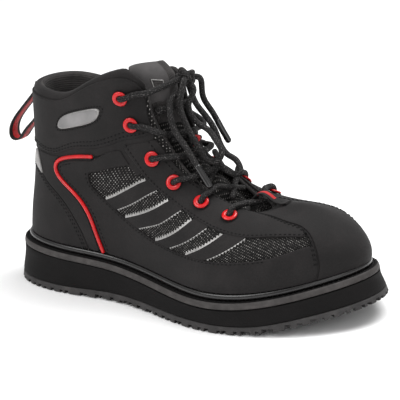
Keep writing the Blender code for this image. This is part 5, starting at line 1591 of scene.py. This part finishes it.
# %% Piping, badge and wedge
for side in SIDES:
    station, level = np.array(on_side(rounded(PIPING_PATH, steps=6), side)).T
    line = smooth_line(offset(station, level, np.full(len(station), GAP + PIPING_RADIUS * 0.8)), 0.0018)
    make(f"piping_{side}_cord", cord_mesh(line, PIPING_RADIUS, around=12), red_gloss, f"piping_{side}")

# The badge is laid out in metres round its seat, with its length rising toward the toe
BADGE_SEAT = (2.433, 3.53)
BADGE_RISE = math.radians(19)
BADGE_LONG, BADGE_TALL, BADGE_SQUARE = 0.0375, 0.0142, 0.62
badge_seat = surface(*BADGE_SEAT)
forward = surface(BADGE_SEAT[0] + 0.05, BADGE_SEAT[1]) - surface(BADGE_SEAT[0] - 0.05, BADGE_SEAT[1])
forward = np.append(unit(forward[:2]), 0.0)
upward = unit(surface(BADGE_SEAT[0], BADGE_SEAT[1] + 0.05) - surface(BADGE_SEAT[0], BADGE_SEAT[1] - 0.05))


def badge_place(along, up):
    """The place that many metres along and up from the middle of the badge."""
    goal = badge_seat + forward * along * math.cos(BADGE_RISE) + upward * (up + along * math.sin(BADGE_RISE))
    place = np.array(BADGE_SEAT)
    for _ in range(4):
        here = surface(*place)
        aside, above = surface(place[0] + 0.01, place[1]) - here, surface(place[0], place[1] + 0.01) - here
        place = place + np.linalg.lstsq(np.stack([aside, above], axis=1) / 0.01, goal - here, rcond=None)[0]
    return tuple(map(float, place))


def badge_edge(spread):
    """The badge's outline, with a margin of that many metres round it."""
    edge = []
    for k in range(64):
        c, s = math.cos(math.tau * k / 64), math.sin(math.tau * k / 64)
        edge.append(badge_place((BADGE_LONG / 2 + spread) * math.copysign(abs(c) ** BADGE_SQUARE, c),
                                (BADGE_TALL / 2 + spread) * math.copysign(abs(s) ** BADGE_SQUARE, s)))
    return edge


both_sides("badge", badge_edge(0.0), silver, low=OVERLAY, high=2 * GAP + 1.8 * OVERLAY)
added_panels("badge_plate", badge_edge(-0.0008), badge_plate, 2 * OVERLAY, 2 * OVERLAY + 2 * GAP)
seam = badge_edge(0.0017)
for side in SIDES:
    stitches(f"badge_seam_{side}", [on_side(seam + seam[:1], side)], pitch=0.0026, length=0.0018)
both_sides("heel_flash", WEDGE, silver, low=OVERLAY + GAP, high=2 * GAP + 1.7 * OVERLAY)

# %% [markdown]
# ### Webbing
# The pull loop at the heel and the two lace keepers are flat webbing with a red stripe.

# %% Webbing
WEBBING_THICKNESS = 0.0014
PULL_WIDTH, KEEPER_WIDTH = 0.012, 0.008
PULL_STRIPE, KEEPER_STRIPE, STRIPE_PROUD = 0.0064, 0.0036, 0.0004
PULL_PATH = (
    (-0.0302, 0.1490), (-0.0306, 0.1450), (-0.0345, 0.1395), (-0.0420, 0.1320), (-0.0510, 0.1230),
    (-0.0585, 0.1140), (-0.0612, 0.1070), (-0.0600, 0.1015), (-0.0555, 0.1005), (-0.0480, 0.1070),
    (-0.0400, 0.1150), (-0.0340, 0.1205), (-0.0312, 0.1240), (-0.0305, 0.1280),
)
TONGUE_KEEPER = (
    (110.7, -5.4, 120.5), (112.4, -5.4, 120.7), (115.9, -5.4, 121.4), (118.5, -5.4, 120.8),
    (117.4, -5.3, 118.4), (114.8, -5.3, 116.1), (113.6, -5.3, 114.8),
)
THROAT_KEEPER = (
    (155.6, -3.2, 72.6), (160.6, -2.9, 70.4), (160.0, -1.9, 73.5), (162.0, -1.9, 80.0),
    (166.0, -1.9, 84.0), (170.0, -1.9, 85.0), (175.0, -1.9, 83.5), (180.0, -1.9, 80.5),
    (184.3, -0.2, 78.9), (188.9, 0.1, 79.9),
)


def ribbon_mesh(line, width, thick, around=20):
    """The form of a flat strap with rounded edges, its width across the foot."""
    across = np.array((0.0, 1.0, 0.0))
    out = unit(np.cross(np.gradient(line, axis=0), across))
    turn = np.linspace(0, math.tau, around, endpoint=False)
    wide = np.sign(np.cos(turn)) * np.abs(np.cos(turn)) ** 0.35 * width / 2
    tall = np.sign(np.sin(turn)) * np.abs(np.sin(turn)) ** 0.6 * thick / 2
    rings = line[:, None] + wide[None, :, None] * across + tall[None, :, None] * out[:, None]
    faces = grid_faces(len(line), around, closed=True)
    faces += [tuple(range(around)), tuple(range((len(line) - 1) * around, len(line) * around))]
    return rings.reshape(-1, 3), faces, flat_map(run_along(line), wide)


pull = smooth_line([(x, 0.0, z) for x, z in PULL_PATH], 0.0016)
make("pull_strap", ribbon_mesh(pull, PULL_WIDTH, WEBBING_THICKNESS), webbing, "pull_loop")
make("pull_stripe", ribbon_mesh(pull, PULL_STRIPE, WEBBING_THICKNESS + STRIPE_PROUD), red_webbing)
# Each keeper's route, and the shares of it between which its stripe shows
KEEPERS = {"tongue_keeper": (TONGUE_KEEPER, 0.0, 1.0), "throat_keeper": (THROAT_KEEPER, 0.42, 0.78)}
for name, (route, start, end) in KEEPERS.items():
    line = smooth_line(millimetres(route), CORD_STEP)
    make(name + "_strap", ribbon_mesh(line, KEEPER_WIDTH, WEBBING_THICKNESS), webbing, name)
    shown = line[int(len(line) * start) : int(len(line) * end)]
    make(name + "_stripe", ribbon_mesh(shown, KEEPER_STRIPE, WEBBING_THICKNESS + STRIPE_PROUD), red_webbing)

# %% [markdown]
# ## Inside
# The footbed keeps its solid and takes the lining's finish.

# %% Footbed
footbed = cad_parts["footbed"]
footbed.data.materials.clear()
footbed.data.materials.append(lining)
